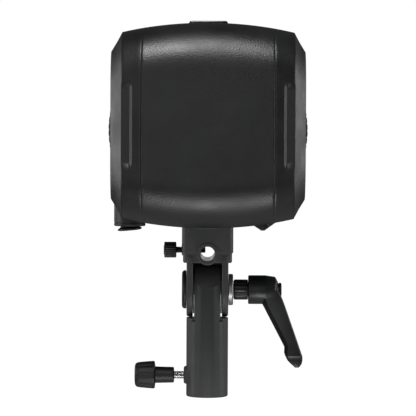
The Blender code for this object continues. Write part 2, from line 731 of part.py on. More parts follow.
def lamp():
    axis = (0, 0, AXIS_Z)
    mirror = material("reflector_silver", (0.75, 0.75, 0.76), 0.18, 1.0)
    dish = [
        (-0.0760, 0.0180),
        (-0.0760, 0.0440),
        (-0.0800, HUB_INNER - GAP),
        (-0.0785, HUB_INNER - GAP),
        (-0.0745, 0.0450),
        (-0.0745, 0.0180),
    ]
    plate = turned("reflector_plate", dish, mirror, "Y", axis, 28)
    ceramic = material("ceramic_white", (0.75, 0.74, 0.71), 0.5)
    base = turned(
        "lamp_base",
        [(-0.0742, 0.0182), (-0.0742, 0.0440), (-0.0640, 0.0440), (-0.0640, 0.0182)],
        ceramic,
        "Y",
        axis,
        24,
    )
    tube_radius = 0.0300
    for side in (-1, 1):
        leg = tube_leg(side, tube_radius)
        cut(plate, rod("leg_hole", 0.0044, -0.09, -0.07, None, "Y", leg, 20))
        cut(base, rod("leg_socket", 0.0044, -0.09, -0.0660, None, "Y", leg, 20))
    flash_tube(tube_radius)
    led = [
        (-0.0745, 0),
        (-0.0745, 0.0176),
        (-0.0780, 0.0176),
        (-0.0790, 0.0150),
        (-0.0830, 0.0120),
        (-0.0860, 0.0070),
        (-0.0870, 0),
    ]
    turned("modelling_lamp", led, material("lamp_lens", (0.85, 0.80, 0.60), 0.2), "Y", axis, 20)
    glass_dome(axis)


def glass_dome(axis):
    """Bowl of clear glass over the flash tube, with a flange that the reflector plate holds."""
    glass = material("clear_glass", (0.9, 0.93, 0.95), 0.03, alpha=0.3)
    wall = 0.0022
    base, rise, radius = -0.0824, 0.0176, 0.0560
    angles = [math.pi / 2 * k / 5 for k in range(5)]
    inside = [(base - (rise - wall) * math.sin(a), (radius - wall) * math.cos(a)) for a in reversed(angles)]
    outside = [(base - rise * math.sin(a), radius * math.cos(a)) for a in angles]
    flange = [(-0.0803, radius - wall + 0.0002), (-0.0800, 0.0590), (base, 0.0590)]
    profile = [(base - rise + wall, 0)] + inside + flange + outside + [(base - rise, 0)]
    turned("glass_dome", profile, glass, "Y", axis, 24)


def tube_leg(side, radius):
    angle = math.radians(28)
    return (side * radius * math.sin(angle), 0, AXIS_Z - radius * math.cos(angle))


def flash_tube(radius):
    """Ring of xenon tube whose two ends turn back into the base."""
    front = -0.0885
    bend = 0.006
    gap_angle = math.radians(28)
    start = -math.pi / 2 + gap_angle + bend / radius
    end = 1.5 * math.pi - gap_angle - bend / radius
    points = []
    for u, v in arc((0, 0), radius, start, end, 24):
        points.append((u, front, v))
    first_leg = tube_leg(1, radius)
    last_leg = tube_leg(-1, radius)
    for leg, at_start in ((first_leg, True), (last_leg, False)):
        stretch = []
        for y in (-0.0665, front + bend, front + bend * 0.45, front + bend * 0.1):
            blend = 1.0 if y > front + bend - TINY else 1 - ((front + bend - y) / bend) ** 2 * 0.6
            near = points[0] if at_start else points[-1]
            x = leg[0] * blend + near[0] * (1 - blend)
            z = (leg[2] - AXIS_Z) * blend + near[2] * (1 - blend)
            stretch.append((x, y, z))
        if at_start:
            points = stretch + points
        else:
            points = points + stretch[::-1]
    curve = bpy.data.curves.new("flash_tube", "CURVE")
    curve.dimensions = "3D"
    curve.bevel_depth = 0.0038
    curve.bevel_resolution = 1
    curve.use_fill_caps = True
    curve.resolution_u = 1
    spline = curve.splines.new("POLY")
    spline.points.add(len(points) - 1)
    for point, place in zip(spline.points, points):
        point.co = (*place, 1.0)
    curve.materials.append(material("frosted_glass", (0.85, 0.87, 0.88), 0.25))
    obj = bpy.data.objects.new("flash_tube", curve)
    obj.location = (0, 0, AXIS_Z)
    bpy.context.scene.collection.objects.link(obj)


# Electronics and cooling ----------------------------------------------------------------------


def heat_sink():
    """Comb of fins behind the lamp base."""
    outline = [(-0.036, -0.0636), (0.036, -0.0636), (0.036, -0.0350)]
    fins = 9
    pitch = 0.072 / fins
    for k in range(fins):
        right = 0.036 - k * pitch
        outline += [(right, -0.0350), (right - 0.002, -0.0350)] if k else [(right - 0.002, -0.0350)]
        if k < fins - 1:
            outline += [(right - 0.002, -0.0590), (right - pitch, -0.0590)]
    outline += [(-0.036 + pitch - 0.002, -0.0590), (-0.036, -0.0590)]
    aluminium = material("aluminium", (0.6, 0.6, 0.62), 0.4, 1.0)
    prism("heat_sink", outline, AXIS_Z - 0.030, AXIS_Z + 0.030, aluminium, "Z", smooth=False)


def fan():
    centre = (0, 0, 0.2470)
    surface = black_plastic("fan_black")
    outline = rounded_rectangle((-0.038, 0.038), (centre[2] - 0.038, centre[2] + 0.038), 0.005)
    frame = prism("fan_frame", outline, -0.0240, -0.0010, surface, "Y")
    cut(frame, rod("fan_duct", 0.0365, -0.03, -0.0035, None, "Y", centre, 40))
    for side in (-1, 1):
        x = sorted((side * 0.006, side * 0.034))
        cut(frame, box("duct_upper", x, (-0.01, 0.01), (centre[2] + 0.006, centre[2] + 0.022), None))
        cut(frame, box("duct_lower", x, (-0.01, 0.01), (centre[2] - 0.022, centre[2] - 0.006), None))
    blades = 7
    rotor = []
    for k in range(blades):
        angle = 2 * math.pi * k / blades
        for offset, radius in ((0.0, 0.0120), (0.05, 0.0350), (0.30, 0.0350), (0.18, 0.0120), (0.55, 0.0120)):
            turn = angle + offset
            rotor.append((radius * math.cos(turn), centre[2] + radius * math.sin(turn)))
    prism("fan_rotor", rotor, -0.0225, -0.0050, black_plastic("rotor_black"), "Y", centre)


def electronics():
    can = material("capacitor_black", (0.03, 0.04, 0.07), 0.35)
    bracket_steel = material("galvanised", (0.5, 0.5, 0.5), 0.45, 1.0)
    saddle = box("capacitor_bracket", (-0.0640, 0.0640), (0.0200, 0.0240), (0.1640, 0.2000), bracket_steel)
    for k, x in enumerate((-0.0410, 0, 0.0410)):
        centre = (x, 0, 0.1830)
        profile = chamfered_rod(0.0175, -0.0300, 0.0700, 0.001)
        turned("capacitor_%d" % (k + 1), profile, can, "Y", centre, 18)
        cut(saddle, rod("can_hole", 0.0182, 0.01, 0.03, None, "Y", centre, 18))
    board = material("board_green", (0.02, 0.12, 0.05), 0.5)
    box("power_board", (-0.0600, 0.0600), (0.0040, 0.0900), (0.2016, 0.2032), board)
    box("control_board", (-0.0580, 0.0580), (0.0960, 0.0976), (0.2150, 0.2900), board)
    core = material("transformer_yellow", (0.55, 0.40, 0.06), 0.5)
    box("trigger_transformer", (0.0180, 0.0500), (0.0500, 0.0800), (0.2036, 0.2300), core, 0.0015)


# Rear panel -----------------------------------------------------------------------------------


def rear_panel():
    surface = material("panel_black", (0.024, 0.025, 0.026), 0.4)
    outline = head_outline(SHELL_INSET + TAPER_INSET)
    panel = prism("rear_panel", outline, SHELL_REAR + GAP, PANEL_REAR, surface, "Y")
    holes = [
        box("display_cut", (-0.0340, 0.0340), (0.1148, 0.13), (0.2390, 0.2770), None),
        rod("dial_cut", 0.0030, 0.10, 0.13, None, "Y", (0, 0, 0.2010), 20),
        box("rocker_cut", (0.0305, 0.0495), (0.10, 0.13), (0.1755, 0.1925), None),
        box("inlet_cut", (-0.0545, -0.0255), (0.10, 0.13), (0.1720, 0.1940), None),
        box("fuse_cut", (-0.0125, 0.0125), (0.10, 0.13), (0.1660, 0.1780), None),
        rod("jack_cut", 0.0048, 0.10, 0.13, None, "Y", (0.0480, 0, 0.2230), 24),
        box("usb_cut", (0.0428, 0.0532), (0.10, 0.13), (0.2015, 0.2065), None),
    ]
    for k in range(4):
        x = -0.0300 + 0.0200 * k
        holes.append(rod("button_cut", 0.0044, 0.10, 0.13, None, "Y", (x, 0, 0.2280), 12))
    for x in PANEL_SCREW_X:
        for z in PANEL_SCREW_Z:
            holes.append(rod("screw_cut", 0.0019, 0.10, 0.13, None, "Y", (x, 0, z), 8))
    cut(panel, *holes)


def panel_controls():
    glass = material("display_glass", (0.01, 0.012, 0.014), 0.06)
    box("display_window", (-0.0337, 0.0337), (0.1151, 0.1171), (0.2393, 0.2767), glass, 0.0004)
    labels = ("menu", "lamp", "sound", "test")
    for k, label in enumerate(labels):
        place = (-0.0300 + 0.0200 * k, 0, 0.2280)
        profile = [
            (0.1095, 0),
            (0.1095, 0.0054),
            (0.1115, 0.0054),
            (0.1115, 0.0039),
            (0.1186, 0.0039),
            (0.1192, 0.0033),
            (0.1192, 0),
        ]
        turned("button_" + label, profile, black_plastic("button_grey"), "Y", place, 12)
    dial = [
        (0.1100, 0),
        (0.1100, 0.0027),
        (0.1178, 0.0027),
        (0.1178, 0.0160),
        (0.1290, 0.0152),
        (0.1302, 0.0140),
        (0.1302, 0),
    ]
    knob = turned("control_dial", dial, black_plastic("dial_black"), "Y", (0, 0, 0.2010), 20)
    for k in range(10):
        angle = 2 * math.pi * k / 10
        centre = (0.0172 * math.cos(angle), 0, 0.2010 + 0.0172 * math.sin(angle))
        cut(knob, rod("dial_flute", 0.0022, 0.1195, 0.14, None, "Y", centre, 8))
    rocker = [
        (0.0315, 0.1105),
        (0.0485, 0.1105),
        (0.0479, 0.1203),
        (0.0400, 0.1178),
        (0.0321, 0.1188),
    ]
    prism("power_rocker", rocker, 0.1761, 0.1919, black_plastic("rocker_black"), "Z", (0.0400, 0.1130, 0.1840), False)


def panel_sockets():
    black = black_plastic("socket_black")
    inlet = box("mains_inlet", (-0.0542, -0.0258), (0.0950, PANEL_REAR), (0.1723, 0.1937), black)
    cut(inlet, box("inlet_pocket", (-0.0520, -0.0280), (0.0985, 0.13), (0.1745, 0.1915), None))
    flange = box("inlet_flange", (-0.0570, -0.0230), (PANEL_REAR + GAP, 0.1195), (0.1695, 0.1965), None)
    cut(flange, box("flange_hole", (-0.0520, -0.0280), (0.09, 0.13), (0.1745, 0.1915), None))
    neck = box("inlet_neck", (-0.0542, -0.0258), (0.1150, 0.1190), (0.1723, 0.1937), None)
    cut(neck, box("neck_hole", (-0.0520, -0.0280), (0.09, 0.13), (0.1745, 0.1915), None))
    weld_on(inlet, neck, flange)
    for x, z in ((-0.0470, 0.1810), (-0.0400, 0.1850), (-0.0330, 0.1810)):
        weld_on(inlet, box("inlet_pin", (x - 0.001, x + 0.001), (0.0970, 0.1130), (z - 0.002, z + 0.002), None))
    drawer = box("fuse_drawer", (-0.0122, 0.0122), (0.0980, 0.1188), (0.1663, 0.1777), black)
    cut(drawer, box("fuse_pocket", (-0.0100, 0.0100), (0.1000, 0.1150), (0.1690, 0.1900), None))
    jack = [
        (0.1000, 0.0020),
        (0.1000, 0.0045),
        (0.1185, 0.0045),
        (0.1185, 0.0020),
    ]
    turned("sync_jack", jack, steel("jack_steel"), "Y", (0.0480, 0, 0.2230), 24)
    usb = box("usb_port", (0.0431, 0.0529), (0.1020, 0.1178), (0.2018, 0.2062), steel("usb_steel"))
    cut(usb, box("usb_pocket", (0.0438, 0.0522), (0.1080, 0.13), (0.2025, 0.2055), None))
    screws = [(x, z) for x in PANEL_SCREW_X for z in PANEL_SCREW_Z]
    for k, (x, z) in enumerate(screws):
        profile = [(0.1090, 0), (0.1090, 0.0015), (0.1178, 0.0015), (0.1178, 0.0030), (0.1192, 0.0024), (0.1192, 0)]
        turned("panel_screw_%d" % (k + 1), profile, steel("screw_black"), "Y", (x, 0, z), 8)


def main():
    clear_scene()
    receiver_casting()
    receiver_lock()
    bracket_block()
    umbrella_parts()
    pivot_hardware()
    clamp_lever()
    front_cap()
    mount_frame()
    lock_ring()
    release_plunger()
    sensor_window()
    housings()
    lamp()
    heat_sink()
    fan()
    electronics()
    rear_panel()
    panel_controls()
    panel_sockets()


main()
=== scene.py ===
"""Looks of the monolight strobe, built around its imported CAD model. Metres, in the CAD model's frame."""

import json
import math

import bmesh
import bpy
from mathutils import Matrix, Vector


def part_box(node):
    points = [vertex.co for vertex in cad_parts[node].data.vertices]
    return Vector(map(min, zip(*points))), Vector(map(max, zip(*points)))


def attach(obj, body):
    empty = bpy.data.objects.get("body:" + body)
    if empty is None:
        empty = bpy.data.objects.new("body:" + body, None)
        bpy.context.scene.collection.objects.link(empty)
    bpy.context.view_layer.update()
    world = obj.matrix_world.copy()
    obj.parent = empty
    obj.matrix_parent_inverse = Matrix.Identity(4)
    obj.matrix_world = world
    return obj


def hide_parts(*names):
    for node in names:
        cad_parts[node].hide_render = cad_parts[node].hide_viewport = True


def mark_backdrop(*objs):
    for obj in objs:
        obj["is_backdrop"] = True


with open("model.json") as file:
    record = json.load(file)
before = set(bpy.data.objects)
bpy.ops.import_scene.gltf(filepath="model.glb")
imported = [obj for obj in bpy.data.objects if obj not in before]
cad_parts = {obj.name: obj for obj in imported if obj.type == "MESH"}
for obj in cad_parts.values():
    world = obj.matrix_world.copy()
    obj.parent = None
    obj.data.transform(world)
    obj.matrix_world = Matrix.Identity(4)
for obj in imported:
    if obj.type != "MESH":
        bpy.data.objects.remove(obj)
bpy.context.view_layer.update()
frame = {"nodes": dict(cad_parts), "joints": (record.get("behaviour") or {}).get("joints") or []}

HALF_PI = math.pi / 2
AXIS_TURN = {
    "X": Matrix.Rotation(HALF_PI, 4, "Y"),
    "Y": Matrix.Rotation(-HALF_PI, 4, "X"),
    "Z": Matrix.Identity(4),
}


def joint(name):
    return next(j for j in frame["joints"] if j["name"] == name)


PIVOT = Vector(joint("head_tilt")["pos_m"])
KNOB_AXIS = Vector(joint("receiver_knob_turn")["pos_m"])
THUMB_AXIS = Vector(joint("umbrella_knob_turn")["pos_m"])
RING_AXIS = Vector(joint("lock_ring_turn")["pos_m"])
DIAL_AXIS = Vector(joint("dial_turn")["pos_m"])
CAP_LOW, CAP_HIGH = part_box("front_cap")
SLEEVE_LOW, SLEEVE_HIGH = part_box("umbrella_sleeve")
UMBRELLA = (SLEEVE_LOW + SLEEVE_HIGH) / 2
UMBRELLA_WALL = (SLEEVE_HIGH.z - SLEEVE_LOW.z) / 2
CAP_Z = (CAP_LOW.z + CAP_HIGH.z) / 2
AXIS_Z = RING_AXIS.z
BUTTON_X = (-0.030, -0.010, 0.010, 0.030)
BUTTON_Z = 0.228
SCREW_PLACES = [(x, z) for x in (-0.0605, 0.0605) for z in (0.174, 0.287)]
PLUNGER = tuple((a + b) / 2 for a, b in zip(*[corner.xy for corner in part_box("release_plunger")]))


# ---------------------------------------------------------------- camera, stage and lights

CAMERA_PLACE = (0.0002, CAP_LOW.y - 2.0, 0.229)
CAMERA_LENS = 216
CAMERA_PITCH = math.radians(1.83)
CAMERA_ROLL = math.radians(0.25)
STUDIO_GREY = (0.80, 0.81, 0.82, 1)
STUDIO_STRENGTH = 0.10
FLOOR_Z = -1.35
CARD_STRENGTH = 1.02
MIDDLE = (0, 0, 0.2)
# name, place, target, size, watts
LIGHTS = (
    ("top_box", (-0.12, -1.02, 1.58), MIDDLE, (0.32, 0.76), 25),
    ("low_box", (0.03, -0.95, -0.95), MIDDLE, (0.42, 0.42), 6.5),
    ("left_box", (-1.25, 1.25, 0.24), MIDDLE, (0.7, 0.30), 1.6),
    ("right_box", (1.25, 1.25, 0.24), MIDDLE, (0.7, 0.30), 1.3),
    ("front_fill", (-0.5, -2.8, 0.6), MIDDLE, (1.6, 1.6), 6.5),
    ("left_strip", (-1.6, -0.20, 0.25), (-0.06, -0.12, 0.23), (0.5, 0.9), 9.0),
    ("right_strip", (1.6, -0.20, 0.25), (0.06, -0.12, 0.23), (0.5, 0.9), 9.0),
)


def camera():
    """Long camera in front of the object, framed and rolled as in the photo."""
    data = bpy.data.cameras.new("camera")
    data.sensor_width = 36
    data.lens = CAMERA_LENS
    obj = bpy.data.objects.new("camera", data)
    bpy.context.scene.collection.objects.link(obj)
    obj.location = CAMERA_PLACE
    look = Matrix.Rotation(HALF_PI - CAMERA_PITCH, 4, "X") @ Matrix.Rotation(CAMERA_ROLL, 4, "Z")
    obj.rotation_euler = look.to_euler()
    bpy.context.scene.camera = obj


def area_light(name, place, target, size, power):
    """Rectangular light aimed at a point."""
    data = bpy.data.lights.new(name, "AREA")
    data.shape = "RECTANGLE"
    data.size, data.size_y = size
    data.energy = power
    obj = bpy.data.objects.new(name, data)
    obj.location = place
    obj.rotation_euler = (Vector(target) - Vector(place)).to_track_quat("-Z", "Y").to_euler()
    bpy.context.scene.collection.objects.link(obj)


def plane(name, corners, surface):
    """Flat rectangle with one material."""
    mesh = bpy.data.meshes.new(name)
    mesh.from_pydata(corners, [], [(0, 1, 2, 3)])
    mesh.materials.append(surface)
    obj = bpy.data.objects.new(name, mesh)
    bpy.context.scene.collection.objects.link(obj)
    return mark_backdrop(obj)


def stage_and_lights():
    """Pale floor, a glowing white card behind the object, a dim studio around it and seven soft boxes."""
    scene = bpy.context.scene
    scene.view_settings.view_transform = "Standard"
    world = bpy.data.worlds.new("studio")
    world.use_nodes = True
    surround = world.node_tree.nodes["Background"].inputs
    surround["Color"].default_value = STUDIO_GREY
    surround["Strength"].default_value = STUDIO_STRENGTH
    scene.world = world
    floor = bpy.data.materials.new("floor_paint")
    floor.use_nodes = True
    shader = floor.node_tree.nodes["Principled BSDF"]
    shader.inputs["Base Color"].default_value = (0.80, 0.80, 0.80, 1)
    shader.inputs["Roughness"].default_value = 0.9
    plane("floor", [(x, y, FLOOR_Z) for x, y in ((-3, -3.5), (3, -3.5), (3, 2.5), (-3, 2.5))], floor)
    card = bpy.data.materials.new("backdrop_light")
    card.use_nodes = True
    tree = card.node_tree
    tree.nodes.remove(tree.nodes["Principled BSDF"])
    glow = tree.nodes.new("ShaderNodeEmission")
    glow.inputs["Strength"].default_value = CARD_STRENGTH
    tree.links.new(glow.outputs[0], tree.nodes["Material Output"].inputs[0])
    plane(
        "backdrop", [(x, 3, z) for x, z in ((-0.45, -0.39), (0.45, -0.39), (0.45, 0.52), (-0.45, 0.52))],
        card,
    )
    for light in LIGHTS:
        area_light(*light)


# ---------------------------------------------------------------- materials

class Nodes:
    """Short ways to add and join shader nodes."""

    def __init__(self, name):
        self.material = bpy.data.materials.new(name)
        self.material.use_nodes = True
        self.tree = self.material.node_tree
        self.shader = self.tree.nodes["Principled BSDF"]
        self.place = self.tree.nodes.new("ShaderNodeTexCoord").outputs["Object"]

    def link(self, source, target):
        self.tree.links.new(source, target)

    def add(self, kind, output, inputs, **settings):
        """New node; each of its inputs is a number, a vector, a colour or another node's socket."""
        node = self.tree.nodes.new("ShaderNode" + kind)
        for name, value in settings.items():
            setattr(node, name, value)
        for slot, value in inputs.items():
            if isinstance(value, bpy.types.NodeSocket):
                self.link(value, node.inputs[slot])
            else:
                node.inputs[slot].default_value = value
        return node.outputs[output]

    def noise(self, scale, detail=3.0, rough=0.5, stretch=None):
        place = self.add("Mapping", 0, {"Vector": self.place, "Scale": stretch}) if stretch else self.place
        return self.add(
            "TexNoise", "Fac", {"Vector": place, "Scale": scale, "Detail": detail, "Roughness": rough},
        )

    def cells(self, scale):
        return self.add("TexVoronoi", "Distance", {"Vector": self.place, "Scale": scale})

    def remap(self, value, low, high, to_low, to_high):
        return self.add("MapRange", 0, {0: value, 1: low, 2: high, 3: to_low, 4: to_high})

    def math(self, kind, first, second):
        return self.add("Math", 0, {0: first, 1: second}, operation=kind)

    def mix(self, amount, first, second):
        first, second = [(*color, 1) if isinstance(color, tuple) else color for color in (first, second)]
        return self.add("Mix", 2, {0: amount, 6: first, 7: second}, data_type="RGBA")

    def edges(self, low=0.52, high=0.60):
        """1 on worn outer edges."""
        return self.remap(self.add("NewGeometry", "Pointiness", {}), low, high, 0, 1)

    def bump(self, *layers):
        """Layers of (height, strength, distance), laid on each other."""
        normal = None
        for height, strength, distance in layers:
            inputs = {"Height": height, "Strength": strength, "Distance": distance}
            if normal:
                inputs["Normal"] = normal
            normal = self.add("Bump", 0, inputs)
        self.link(normal, self.shader.inputs["Normal"])

    def set(self, **values):
        for name, value in values.items():
            self.shader.inputs[name.replace("_", " ")].default_value = value


def plastic(name, color, rough, grain=1400, depth=0.25, wear=0.35, specular=0.5, spread=0.06):
    """Moulded plastic: fine spark-eroded grain, uneven sheen, paler rubbed edges."""
    n = Nodes(name)
    cloud = n.noise(38, 4, 0.6)
    fine = n.noise(grain, 2, 0.6)
    pits = n.cells(grain * 0.8)
    worn = n.math("MULTIPLY", n.edges(), n.remap(n.noise(160, 3), 0.42, 0.62, 0.1, wear))
    dark = tuple(c * 0.82 for c in color)
    light = tuple(min(1, c * 1.22 + 0.001) for c in color)
    rubbed = tuple(min(1, c * 2.4 + 0.012) for c in color)
    base = n.mix(n.remap(cloud, 0.3, 0.7, 0, 1), dark, light)
    n.link(n.mix(worn, base, rubbed), n.shader.inputs["Base Color"])
    sheen = n.remap(cloud, 0.3, 0.7, rough - spread, rough + spread)
    n.link(n.math("SUBTRACT", sheen, n.math("MULTIPLY", worn, 0.12)), n.shader.inputs["Roughness"])
    n.set(Specular_IOR_Level=specular)
    n.bump((pits, depth, 0.00009), (fine, depth, 0.00012))
    return n.material


def powder_coat(name, color, rough=0.5, specular=0.4):
    """Painted casting: orange-peel, fine speckle, chipped edges."""
    n = Nodes(name)
    peel = n.noise(620, 2, 0.5)
    speck = n.noise(2600, 1, 0.5)
    cloud = n.noise(30, 4, 0.6)
    worn = n.math("MULTIPLY", n.edges(0.54, 0.62), n.remap(n.noise(240, 4, 0.7), 0.5, 0.66, 0, 0.5))
    dark = tuple(c * 0.85 for c in color)
    light = tuple(c * 1.18 for c in color)
    base = n.mix(n.remap(cloud, 0.3, 0.7, 0, 1), dark, light)
    n.link(n.mix(worn, base, (0.16, 0.16, 0.16)), n.shader.inputs["Base Color"])
    n.link(n.remap(peel, 0.3, 0.7, rough - 0.06, rough + 0.06), n.shader.inputs["Roughness"])
    n.set(Specular_IOR_Level=specular)
    n.bump((peel, 0.30, 0.00012), (speck, 0.18, 0.00005))
    return n.material


def metal(name, color, rough, stretch=(900, 900, 900), scratch=0.12):
    """Turned or brushed metal with tool marks and handling stains."""
    n = Nodes(name)
    marks = n.noise(1.0, 3, 0.6, stretch)
    stain = n.noise(55, 4, 0.6)
    dark = tuple(c * 0.72 for c in color)
    n.link(n.mix(n.remap(stain, 0.35, 0.7, 0, 1), color, dark), n.shader.inputs["Base Color"])
    n.link(n.remap(marks, 0.3, 0.7, rough * 0.7, rough * 1.3), n.shader.inputs["Roughness"])
    n.set(Metallic=1.0)
    n.bump((marks, scratch, 0.00005))
    return n.material


def gloss(name, color, rough=0.08, alpha=1.0, transmission=0.0, ior=1.5):
    """Glossy window or glass with a faint smear."""
    n = Nodes(name)
    smear = n.noise(45, 4, 0.65, (1, 1, 2.5))
    n.link(n.remap(smear, 0.35, 0.75, rough * 0.6, rough * 2.2), n.shader.inputs["Roughness"])
    n.link(n.mix(smear, color, tuple(min(1, c * 1.3 + 0.002) for c in color)), n.shader.inputs["Base Color"])
    n.set(IOR=ior, Transmission_Weight=transmission, Alpha=alpha)
    n.bump((smear, 0.03, 0.0001))
    return n.material


CAP_PLASTIC = plastic("cap_plastic", (0.0050, 0.0053, 0.0056), 0.40, grain=950, depth=0.85, wear=0.25)
SHELL_PLASTIC = plastic("shell_plastic", (0.0100, 0.0103, 0.0107), 0.48, grain=1300, depth=0.35)
RING_PLASTIC = plastic("ring_plastic", (0.0080, 0.0083, 0.0086), 0.42, grain=1800, depth=0.2)
LEVER_PLASTIC = plastic("lever_plastic", (0.0060, 0.0068, 0.0068), 0.42, grain=1700, depth=0.22)
KNOB_PLASTIC = plastic("knob_plastic", (0.0055, 0.0055, 0.0058), 0.50, grain=1700, depth=0.25)
CAST_BLACK = powder_coat("cast_black", (0.0500, 0.0510, 0.0515))
TUBE_BLACK = powder_coat("tube_black", (0.0470, 0.0482, 0.0482), 0.58)
BARE_STEEL = metal("bare_steel", (0.62, 0.62, 0.62), 0.28, (300, 1200, 300))
POLISHED = metal("polished_steel", (0.42, 0.42, 0.42), 0.45, (2200, 300, 300))
BLACK_STEEL = metal("black_steel", (0.045, 0.045, 0.048), 0.38, (400, 1800, 1800))
DARK_WINDOW = gloss("dark_window", (0.004, 0.004, 0.005), 0.10)
SMOKED_GLASS = gloss("smoked_glass", (0.30, 0.32, 0.33), 0.06, transmission=0.9)
LCD = gloss("lcd_cells", (0.050, 0.062, 0.058), 0.35)
CLEAR_GLASS = gloss("clear_glass", (0.93, 0.95, 0.96), 0.04, transmission=1.0, ior=1.47)
FROSTED = gloss("frosted_glass", (0.80, 0.82, 0.84), 0.30, transmission=0.55)
LAMP_LENS = gloss("lamp_lens", (0.82, 0.74, 0.50), 0.22, transmission=0.35)
MIRROR = metal("reflector_mirror", (0.80, 0.80, 0.81), 0.16, (700, 700, 700), 0.25)
ALUMINIUM = metal("raw_aluminium", (0.58, 0.58, 0.60), 0.38, (200, 1400, 1400), 0.25)
ZINC = metal("zinc_plate", (0.46, 0.46, 0.48), 0.42, (500, 500, 500), 0.2)
RUBBER = plastic(
    "button_rubber", (0.0300, 0.0300, 0.0312), 0.62, grain=2200, depth=0.3, wear=0.15, specular=0.35,
)
INLET_PLASTIC = plastic("inlet_plastic", (0.0070, 0.0070, 0.0074), 0.34, grain=2000, depth=0.12)
PALE_PAINT = plastic("pale_paint", (0.55, 0.55, 0.54), 0.5, grain=1800, depth=0.15, wear=0.1)
CERAMIC = plastic("ceramic_white", (0.62, 0.61, 0.58), 0.55, grain=1200, depth=0.35, wear=0.1)
SLEEVE = plastic("capacitor_sleeve", (0.012, 0.016, 0.030), 0.28, grain=900, depth=0.10)
BOARD = plastic("circuit_board", (0.010, 0.060, 0.026), 0.35, grain=500, depth=0.35, wear=0.3)
TAPE = plastic("transformer_tape", (0.42, 0.29, 0.040), 0.45, grain=700, depth=0.3)


# ---------------------------------------------------------------- mesh tools

def new_object(name, mesh, surface, smooth=True, angle=35):
    """Object from a mesh, with one material and smooth shading up to an angle."""
    mesh.materials.clear()
    mesh.materials.append(surface)
    if smooth:
        mesh.shade_smooth()
        mesh.set_sharp_from_angle(angle=math.radians(angle))
    obj = bpy.data.objects.new(name, mesh)
    bpy.context.scene.collection.objects.link(obj)
    return obj


def from_bmesh(name, builder, surface, smooth=True, angle=35):
    """Object from a finished bmesh, which is freed."""
    bmesh.ops.recalc_face_normals(builder, faces=builder.faces)
    mesh = bpy.data.meshes.new(name)
    builder.to_mesh(mesh)
    builder.free()
    return new_object(name, mesh, surface, smooth, angle)


def join_loops(builder, loops, closed):
    """Faces between loops that follow each other."""
    pairs = list(zip(loops, loops[1:]))
    if closed:
        pairs.append((loops[-1], loops[0]))
    for first, second in pairs:
        for k in range(max(len(first), len(second))):
            corners = [first[k % len(first)], first[(k + 1) % len(first)]]
            corners += [second[(k + 1) % len(second)], second[k % len(second)]]
            unique = list(dict.fromkeys(corners))
            if len(unique) > 2:
                builder.faces.new(unique)


def arc(centre, radius, start, end, steps):
    """Points on an arc, both ends included."""
    angles = [start + (end - start) * k / steps for k in range(steps + 1)]
    return [(centre[0] + radius * math.cos(a), centre[1] + radius * math.sin(a)) for a in angles]


def softened(points, radius, steps=4, closed=False):
    """Outline with its corners rounded; radius is one number or one for each point."""
    count = len(points)
    result = []
    for k, here in enumerate(points):
        reach = radius[k] if isinstance(radius, (list, tuple)) else radius
        if reach <= 0 or (not closed and k in (0, count - 1)):
            result.append(tuple(here))
            continue
        corner = Vector(here)
        before = Vector(points[k - 1]) - corner
        after = Vector(points[(k + 1) % count]) - corner
        near = min(reach, before.length * 0.48, after.length * 0.48)
        start = corner + before.normalized() * near
        end = corner + after.normalized() * near
        for step in range(steps + 1):
            t = step / steps
            point = start * (1 - t) ** 2 + corner * 2 * t * (1 - t) + end * t**2
            result.append(tuple(point))
    return result


def rounded_box_outline(low, high, radius, steps=6):
    """Rectangle between two corners, with rounded corners."""
    return softened([low, (high[0], low[1]), high, (low[0], high[1])], radius, steps, True)


def box_steps(low, high, steps, radius, count=5):
    """Sections of a loft: the rounded box from low to high, set in at each (along, inset)."""
    sections = []
    for along, inset in steps:
        near, far = (low[0] + inset, low[1] + inset), (high[0] - inset, high[1] - inset)
        sections.append((along, rounded_box_outline(near, far, radius, count)))
    return sections


def span(side, near, far):
    """A stretch of x on one side of the middle, lowest end first."""
    return sorted((side * near, side * far))


def turned(name, profile, surface, axis="Z", centre=(0, 0, 0), segments=96, wave=None):
    """Turn (along, radius) points; wave(angle, along, radius) may change each radius."""
    builder = bmesh.new()
    loops = []
    for along, radius in profile:
        if radius < 1e-7:
            loops.append([builder.verts.new((0, 0, along))])
            continue
        loop = []
        for k in range(segments):
            angle = 2 * math.pi * k / segments
            reach = wave(angle, along, radius) if wave else radius
            loop.append(builder.verts.new((reach * math.cos(angle), reach * math.sin(angle), along)))
        loops.append(loop)
    join_loops(builder, loops, closed=profile[0][1] > 1e-7 and profile[-1][1] > 1e-7)
    bmesh.ops.transform(builder, matrix=Matrix.Translation(centre) @ AXIS_TURN[axis], verts=builder.verts)
    return from_bmesh(name, builder, surface)


def at(origin, *points):
    """Profile points whose place along the axis counts from an origin."""
    return [(origin + along, radius) for along, radius in points]


def to_world(axis, u, v, along):
    """Place of an outline point (u, v) at a distance along the axis."""
    if axis == "X":
        return along, u, v
    if axis == "Y":
        return u, along, v
    return u, v, along


def loft(name, sections, surface, axis="Y", smooth=True, angle=35):
    """Solid through outlines of equal length at given distances along an axis."""
    builder = bmesh.new()
    loops = [
        [builder.verts.new(to_world(axis, u, v, along)) for u, v in outline]
        for along, outline in sections
    ]
    join_loops(builder, loops, closed=False)
    builder.faces.new(loops[0])
    builder.faces.new(loops[-1])
    return from_bmesh(name, builder, surface, smooth, angle)


def prism(name, outline, low, high, surface, axis="Y", angle=35):
    """Straight solid from one outline."""
    return loft(name, [(low, outline), (high, outline)], surface, axis, True, angle)


def block(name, low, high, surface, radius=0.0):
    """Box between two corners, rounded if a radius is given."""
    outline = [(low[0], low[2]), (high[0], low[2]), (high[0], high[2]), (low[0], high[2])]
    obj = prism(name, outline, low[1], high[1], surface)
    if radius:
        round_edges(obj, radius)
    return obj


